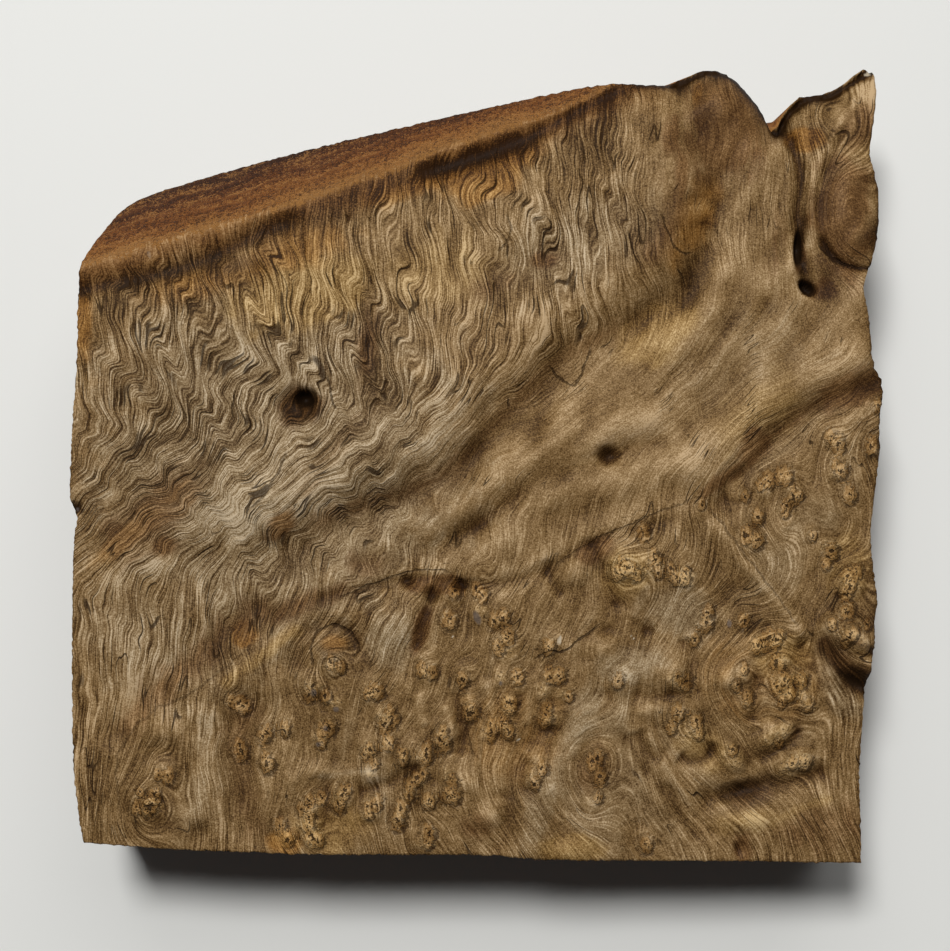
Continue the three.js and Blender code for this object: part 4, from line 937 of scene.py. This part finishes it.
class Finish:
    """A wood finish, built up from small steps."""

    def __init__(self, name):
        self.material = bpy.data.materials.new(name)
        self.material.use_nodes = True
        self.tree = self.material.node_tree
        self.surface = self.tree.nodes["Principled BSDF"].inputs
        self.surface["Specular IOR Level"].default_value = SHEEN
        self.marks = {}

    def put(self, socket, value):
        if isinstance(value, Number):
            value = value.socket
        if isinstance(value, bpy.types.NodeSocket):
            self.tree.links.new(value, socket)
        else:
            socket.default_value = value

    def node(self, kind, inputs, **settings):
        node = self.tree.nodes.new("ShaderNode" + kind)
        for name, value in settings.items():
            setattr(node, name, value)
        for name, value in inputs.items():
            self.put(node.inputs[name], value)
        return node

    def calc(self, operation, *values):
        node = self.node("Math", dict(enumerate(values)), operation=operation)
        return Number(self, node.outputs[0])

    def mark(self, name):
        """What was written under a name at each point of the mesh."""
        if name not in self.marks:
            node = self.node("Attribute", {}, attribute_name=name)
            self.marks[name] = Number(self, node.outputs["Fac"])
        return self.marks[name]

    def place(self):
        """Where the point is on the piece, in millimetres: (x, y, z)."""
        coords = self.node("TexCoord", {})
        apart = self.node("SeparateXYZ", {0: coords.outputs["Object"]})
        return [Number(self, axis) / MM for axis in apart.outputs]

    def point(self, x, y, z):
        return self.node("CombineXYZ", {0: x, 1: y, 2: z}).outputs[0]

    def noise(self, x, y, z, detail=0.0, roughness=0.5):
        """Noise from about -1 to 1."""
        node = self.node("TexNoise", {
            "Vector": self.point(x, y, z), "Scale": 1, "Detail": detail, "Roughness": roughness})
        return self.calc("MULTIPLY_ADD", node.outputs["Fac"], 2, -1)

    def cells(self, x, y, width):
        """How far each point is from its cell's seed, in cells."""
        inputs = {"Vector": self.point(x, y, 0.0), "Scale": 1 / width}
        node = self.node("TexVoronoi", inputs, voronoi_dimensions="2D")
        return Number(self, node.outputs["Distance"])

    def ramp(self, value, tones):
        node = self.node("ValToRGB", {"Fac": value})
        stops = node.color_ramp.elements
        while len(stops) < len(tones):
            stops.new(0.5)
        for stop, (place, *colour) in zip(stops, tones):
            stop.position = place
            stop.color = srgb(*colour)
        return node.outputs["Color"]

    def blend(self, share, under, over):
        """One colour laid over another, as far as the share says."""
        node = self.node("Mix", {"Factor": share}, data_type="RGBA", clamp_factor=True)
        colours = [socket for socket in node.inputs if socket.type == "RGBA"]
        self.put(colours[0], under)
        self.put(colours[1], over)
        return [socket for socket in node.outputs if socket.type == "RGBA"][0]

    def cover(self, colour, rough, height):
        """Ends the finish: its colour, its roughness, and its fine relief in millimetres."""
        bump = self.node("Bump", {"Strength": 1, "Distance": MM, "Height": height})
        self.put(self.surface["Base Color"], colour)
        self.put(self.surface["Roughness"], rough)
        self.put(self.surface["Normal"], bump.outputs[0])
        return self.material


# Wood tones from dark grain lines to pale fibres, for each kind of place on the skin: where each
# comes on the way from dark to pale, and its red, green and blue.
TAN_TONES = [
    (0, 46, 29, 9), (0.25, 80, 57, 29), (0.5, 118, 91, 55), (0.75, 149, 121, 83), (1, 186, 158, 120),
]
SILVER_TONES = [
    (0, 52, 35, 14), (0.25, 88, 66, 39), (0.5, 126, 103, 71), (0.75, 156, 134, 102), (1, 194, 174, 144),
]
GOLD_TONES = [
    (0, 52, 33, 9), (0.25, 92, 66, 32), (0.5, 134, 104, 60), (0.75, 166, 135, 88), (1, 202, 172, 124),
]
AMBER_TONES = [
    (0, 52, 29, 6), (0.25, 92, 60, 24), (0.5, 130, 91, 43), (0.75, 158, 117, 64), (1, 194, 153, 96),
]
# Red-brown, for the wood's own red-brown and for painted shade in dips, grooves and along folds.
RUST_AND_SHADE_TONES = [
    (0, 36, 20, 6), (0.3, 66, 42, 19), (0.55, 95, 67, 37), (0.8, 124, 92, 56), (1, 156, 122, 82),
]
TORN_TONES = [
    (0, 44, 24, 7), (0.25, 84, 53, 24), (0.5, 120, 82, 43), (0.75, 142, 103, 61), (1, 168, 130, 86),
]
# Dark brown, for dark wood and for painted shade in crevices, hollows, grooves and the crease.
UMBER_AND_SHADE_TONES = [(0, 26, 15, 5), (0.4, 56, 36, 17), (0.7, 88, 61, 33), (1, 126, 94, 58)]
# Down through the wood from the skin: orange outer wood, red-brown under it, then dark streaks.
SAWN_TONES = [
    (0, 144, 101, 54), (0.14, 134, 87, 42), (0.3, 116, 70, 33), (0.5, 92, 53, 27), (0.7, 68, 41, 26),
    (1, 84, 50, 30),
]
SAWN_REACH = 18
SHEEN = 0.08
PIT_COLOUR = srgb(30, 19, 11)
# Near black, for cracks and for the painted shadow round the bud eyes.
CRACK_AND_SHADOW_COLOUR = srgb(36, 21, 9)
WHITE_COLOUR = srgb(190, 176, 152)
GREY_COLOUR = srgb(98, 88, 82)
KNIFED_COLOUR = srgb(46, 28, 18)
FIBRE_COLOUR = srgb(160, 114, 64)

# Fibres along the grain: width and length, their shift, and how finely they are broken up.
HAIR = (0.25, 6, 0, 0)
THREAD = (0.62, 10, 20, 0.5)
STRAND = (1.9, 15, 50, 1)
SEAM = (2, 12, 9, 0)
# The sizes of pores and specks, and how far apart pinholes and the pits in bud eyes lie.
PORE = 0.9
SPECK = 0.3
PINHOLE_SPACING = 1.5
EYE_PIT_SPACING = 1.05
# How strongly they lighten and darken the wood, and how high or deep they are in millimetres.
HAIR_TONE = 0.64
THREAD_TONE = 0.48
STRAND_TONE = 0.24
PORE_TONE = 0.16
SPECK_TONE = 0.36
HAIR_HEIGHT = 0.035
THREAD_HEIGHT = 0.08
STRAND_HEIGHT = 0.15
CRACK_DEPTH = 0.3
HOLLOW_DEPTH = 0.5
PIP_HEIGHT = 0.12
# The parts of a bud eye, in eye radii from its middle: where each one is gone, and where it is whole.
NEAR_EYE = (2.6, 1.8)
PIP = (1.35, 0.7)
PITTED = (1.4, 0.6)
RIM_INSIDE = (0.9, 1.3)
RIM_OUTSIDE = (2, 1.4)
HOLLOW = (0.22, 0.02)
# The same for stains and their faint edges, seams, drawn cracks, pits, and the slanting cut with the
# browner wood beside it.
STAINED = (0.12, 0.75)
FAINT = (0.02, 0.3)
SEAMED = (1.1, 0.3)
CRACKED = (0.35, 0.08)
EYE_PITTED = (0.25, 0.1)
PINHOLED = (0.17, 0.07)
CUT = (0.6, -0.6)
BESIDE_CUT = (10, 1)
# How strongly the side and base cuts tear the fibres, where the slanting cut is 1.
SIDES_TORN = 0.4


def sawn_wood(finish, x, y, fuzz, torn):
    """The colour and relief of sawn wood, by its depth under the skin and how torn its fibres are."""
    depth = finish.mark("under_skin")
    layer = depth + 3 * finish.mark("mottle") + 0.6 * fuzz
    streak = finish.noise(layer / 1.3, x / 22, y / 22, 1, 0.6)
    fine = finish.noise(layer / 0.34, x / 7, y / 7, 0, 0.6)
    tone = ((layer + 3 * streak) / SAWN_REACH).at_least(0).at_most(1)
    colour = finish.ramp(tone, SAWN_TONES)
    both = 0.9 * streak * depth.step(2, 10, 0.5, 1) + 0.4 * fine + 0.8 * fuzz
    colour = finish.blend(both.step(0.02, 0.6) * (0.75 * torn), colour, KNIFED_COLOUR)
    colour = finish.blend(both.step(-0.05, -0.6) * (0.6 * torn), colour, FIBRE_COLOUR)
    return colour, 0.22 * fuzz


def finish_skin():
    """The burl's own skin: weathered fibres that follow the grain, stains, painted light and shade, bud eyes
    and cracks.
    """
    finish = Finish("burl_skin")
    mark = finish.mark
    x, y, z = finish.place()
    coarse = mark("coarse")
    lobe = mark("lobe")
    mottle = mark("mottle")

    def fibres(width, length, shift, detail):
        across = finish.calc("MULTIPLY_ADD", mark("grain"), 1 / width, shift)
        return finish.noise(across, x / length, y / length, detail)

    hair = fibres(*HAIR)
    thread = fibres(*THREAD)
    strand = fibres(*STRAND)
    pores = finish.noise(x / PORE, y / PORE, z / PORE, 1.5, 0.6)
    specks = finish.noise(x / SPECK, y / SPECK, z / SPECK)

    over = mark("over_cut")
    near_cut = (over + 5 * mottle + 2 * strand).step(*BESIDE_CUT)
    strength = (mark("lines") - 0.35 * near_cut).at_least(0.16)
    lines = HAIR_TONE * hair + THREAD_TONE * thread * coarse
    shining = lines.at_least(0.05) * mark("shine")
    tone = (mark("tone") + shining + lines * strength + STRAND_TONE * strand * coarse
            - 0.22 * near_cut + PORE_TONE * pores + SPECK_TONE * specks)
    tone = tone.at_most(1).at_least(0)
    streaky = 0.5 * strand + 0.4 * thread + 0.5 * mottle

    def stain_and_shade(name, softness=0.35):
        return (mark(name) + softness * streaky).step(*STAINED) * mark(name).step(*FAINT)

    # Flows of fibre between the lobes are grey, and the lobes themselves golden. The dips between
    # them are painted darker and red-brown: painted shade.
    golden = (lobe + 0.6 * pores).step(0.4, 1.3, 0, 0.5)
    dip_shade = (mark("dip_shade") + 0.4 * streaky).step(0.2, 1.2, 0, 0.6)
    stains_and_shade = [
        (stain_and_shade("silver").at_least(mark("flow")), SILVER_TONES),
        (stain_and_shade("gold").at_least(golden), GOLD_TONES),
        (stain_and_shade("amber"), AMBER_TONES),
        (stain_and_shade("rust_and_shade", 0.5).at_least(dip_shade), RUST_AND_SHADE_TONES),
        (stain_and_shade("umber_and_shade"), UMBER_AND_SHADE_TONES),
    ]
    colour = finish.ramp(tone, TAN_TONES)
    for share, tones in stains_and_shade:
        colour = finish.blend(share, colour, finish.ramp(tone, tones))

    # Thin dark cracks along the grain, most of them in the curl, and the drawn ones.
    seams = mark("seams")
    seam = (abs(fibres(*SEAM)) / (seams * mark("seam_width") + 0.01)).step(*SEAMED) * seams
    drawn = (abs(mark("crack_off")) + 0.3 * pores).step(*CRACKED) * mark("crack_on")
    crack = seam.at_least(drawn)

    # Bud eyes: rough golden grains with dark pits in them and a dark ring round them, darker on its
    # lower right side as painted shadow.
    eye_x = mark("eye_x")
    eye_y = EYE_NARROWING * mark("eye_y")
    off = finish.calc("SQRT", eye_x * eye_x + eye_y * eye_y) + 0.9 * pores + 0.25 * specks
    by_eye = mark("eye_off").step(*NEAR_EYE)
    pip = off.step(*PIP) * by_eye
    rim = off.step(*RIM_INSIDE) * off.step(*RIM_OUTSIDE) * by_eye
    # The lower right side of each eye's ring, painted darker as painted shadow.
    below = (eye_x - 1.3 * eye_y).step(0.1, 1.2)
    hollow = off.step(*HOLLOW) * by_eye
    pip_pits = finish.cells(x, 0.7 * y, EYE_PIT_SPACING).step(*EYE_PITTED)
    pip_pits = pip_pits * off.step(*PITTED) * by_eye
    pinholes = (finish.cells(x, y, PINHOLE_SPACING) + 0.12 * specks).step(*PINHOLED)
    pinholes = pinholes * (lobe + 0.5 * mottle).step(0.3, 0.9, 0, 0.8)

    # The slanting saw cut tears the fibres where it meets the skin, and the wood near it is browner.
    torn_fibres = 0.4 * thread + 1.2 * pores + 1.1 * specks
    cut_colour, cut_relief = sawn_wood(finish, x, y, torn_fibres, 1)
    is_cut = (over + 2 * strand + 1.6 * thread + 2.4 * pores + 1.2 * specks).step(*CUT)

    layers = [
        (0.8 * crack, CRACK_AND_SHADOW_COLOUR),
        (0.42 * pip, finish.ramp(tone + 0.06 + 0.3 * pores, AMBER_TONES)),
        (rim * (0.2 + 0.5 * below), CRACK_AND_SHADOW_COLOUR),
        (0.78 * hollow.at_least(pinholes).at_least(pip_pits), PIT_COLOUR),
        (mark("grey").step(0.4, 0.9, 0, 0.7), GREY_COLOUR),
        (mark("white").step(0.45, 0.8, 0, 0.8), WHITE_COLOUR),
        (0.85 * near_cut, finish.ramp(tone, TORN_TONES)),
        (is_cut, cut_colour),
    ]
    for share, over_colour in layers:
        colour = finish.blend(share, colour, over_colour)

    threads = HAIR_HEIGHT * hair + THREAD_HEIGHT * thread + STRAND_HEIGHT * strand
    roughened = pores * (0.06 + 0.14 * lobe.step(0.3, 1) + 0.2 * pip)
    height = threads * coarse - CRACK_DEPTH * crack - HOLLOW_DEPTH * hollow
    height = height + PIP_HEIGHT * pip - PIP_HEIGHT * rim + roughened
    height = height * (1 - is_cut) + cut_relief * is_cut
    return finish.cover(colour, 0.62 - 0.1 * tone + 0.2 * crack, height)


def finish_sawn():
    """The sawn sides and base."""
    finish = Finish("sawn_wood")
    x, y, z = finish.place()
    fuzz = 0.6 * finish.noise(1.7 * x, 1.7 * y, 1.7 * z, 1)
    colour, relief = sawn_wood(finish, x, y, fuzz, SIDES_TORN)
    saw_marks = finish.noise(0.75 * (x + y), 0.02 * (x + y), 0.05 * z, 1)
    colour = finish.blend(saw_marks.step(0.1, 0.7, 0, 0.25), colour, KNIFED_COLOUR)
    return finish.cover(colour, 0.7, relief + 0.12 * saw_marks)


# The floor, the lamps and the camera, in metres: each lamp's direction, distance, size and power.
FLOOR_TONE = srgb(220, 220, 216)
FLOOR_SIZE = 6
FLOOR_ROUGHNESS = 0.6
LAMPS = {
    "window": ((-0.14, 0.34, 0.93), 2.2, 0.41, 39.5),
    "ceiling": ((0.05, 0.75, 1), 1.8, 1.4, 12),
}
LAMPS_AIM = (0, 0, 0.04)
ROOM_LIGHT = 0.03
CAMERA_AT = (-0.6 * MM, -2.1 * MM, 560 * MM)
LENS = 88.2
SENSOR = 36


def make_floor():
    """A plain pale floor."""
    bpy.ops.mesh.primitive_plane_add(size=FLOOR_SIZE)
    floor = bpy.context.object
    floor.name = "floor"
    material = bpy.data.materials.new("floor")
    material.use_nodes = True
    surface = material.node_tree.nodes["Principled BSDF"]
    surface.inputs["Base Color"].default_value = FLOOR_TONE
    surface.inputs["Roughness"].default_value = FLOOR_ROUGHNESS
    floor.data.materials.append(material)


def make_lamp(name, toward, distance, size, power):
    """A square lamp that stands off in a direction from the blank and shines on it."""
    lamp = bpy.data.lights.new(name, "AREA")
    lamp.shape = "SQUARE"
    lamp.size = size
    lamp.energy = power
    holder = bpy.data.objects.new(name, lamp)
    direction = np.array(toward, float)
    direction = direction / np.linalg.norm(direction)
    holder.location = direction * distance + LAMPS_AIM
    holder.rotation_euler = Vector(direction).to_track_quat("Z", "Y").to_euler()
    bpy.context.scene.collection.objects.link(holder)


def make_light():
    """A window above the back, a ceiling that softens its shadows, and a little light all round."""
    for name, lamp in LAMPS.items():
        make_lamp(name, *lamp)
    world = bpy.data.worlds.new("room")
    world.use_nodes = True
    background = world.node_tree.nodes["Background"].inputs
    background["Color"].default_value = (1, 1, 1, 1)
    background["Strength"].default_value = ROOM_LIGHT
    bpy.context.scene.world = world


def make_camera():
    """Straight above the blank, as it was looked down on."""
    lens = bpy.data.cameras.new("camera")
    lens.lens = LENS
    lens.sensor_width = SENSOR
    camera = bpy.data.objects.new("camera", lens)
    camera.location = CAMERA_AT
    bpy.context.scene.collection.objects.link(camera)
    bpy.context.scene.camera = camera
    bpy.context.scene.view_settings.view_transform = "Standard"


make_camera()
make_light()
make_floor()
blank = make_blank()
raise_skin(blank)
blank.data.shade_smooth()
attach(blank, "root")
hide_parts("burl_blank")
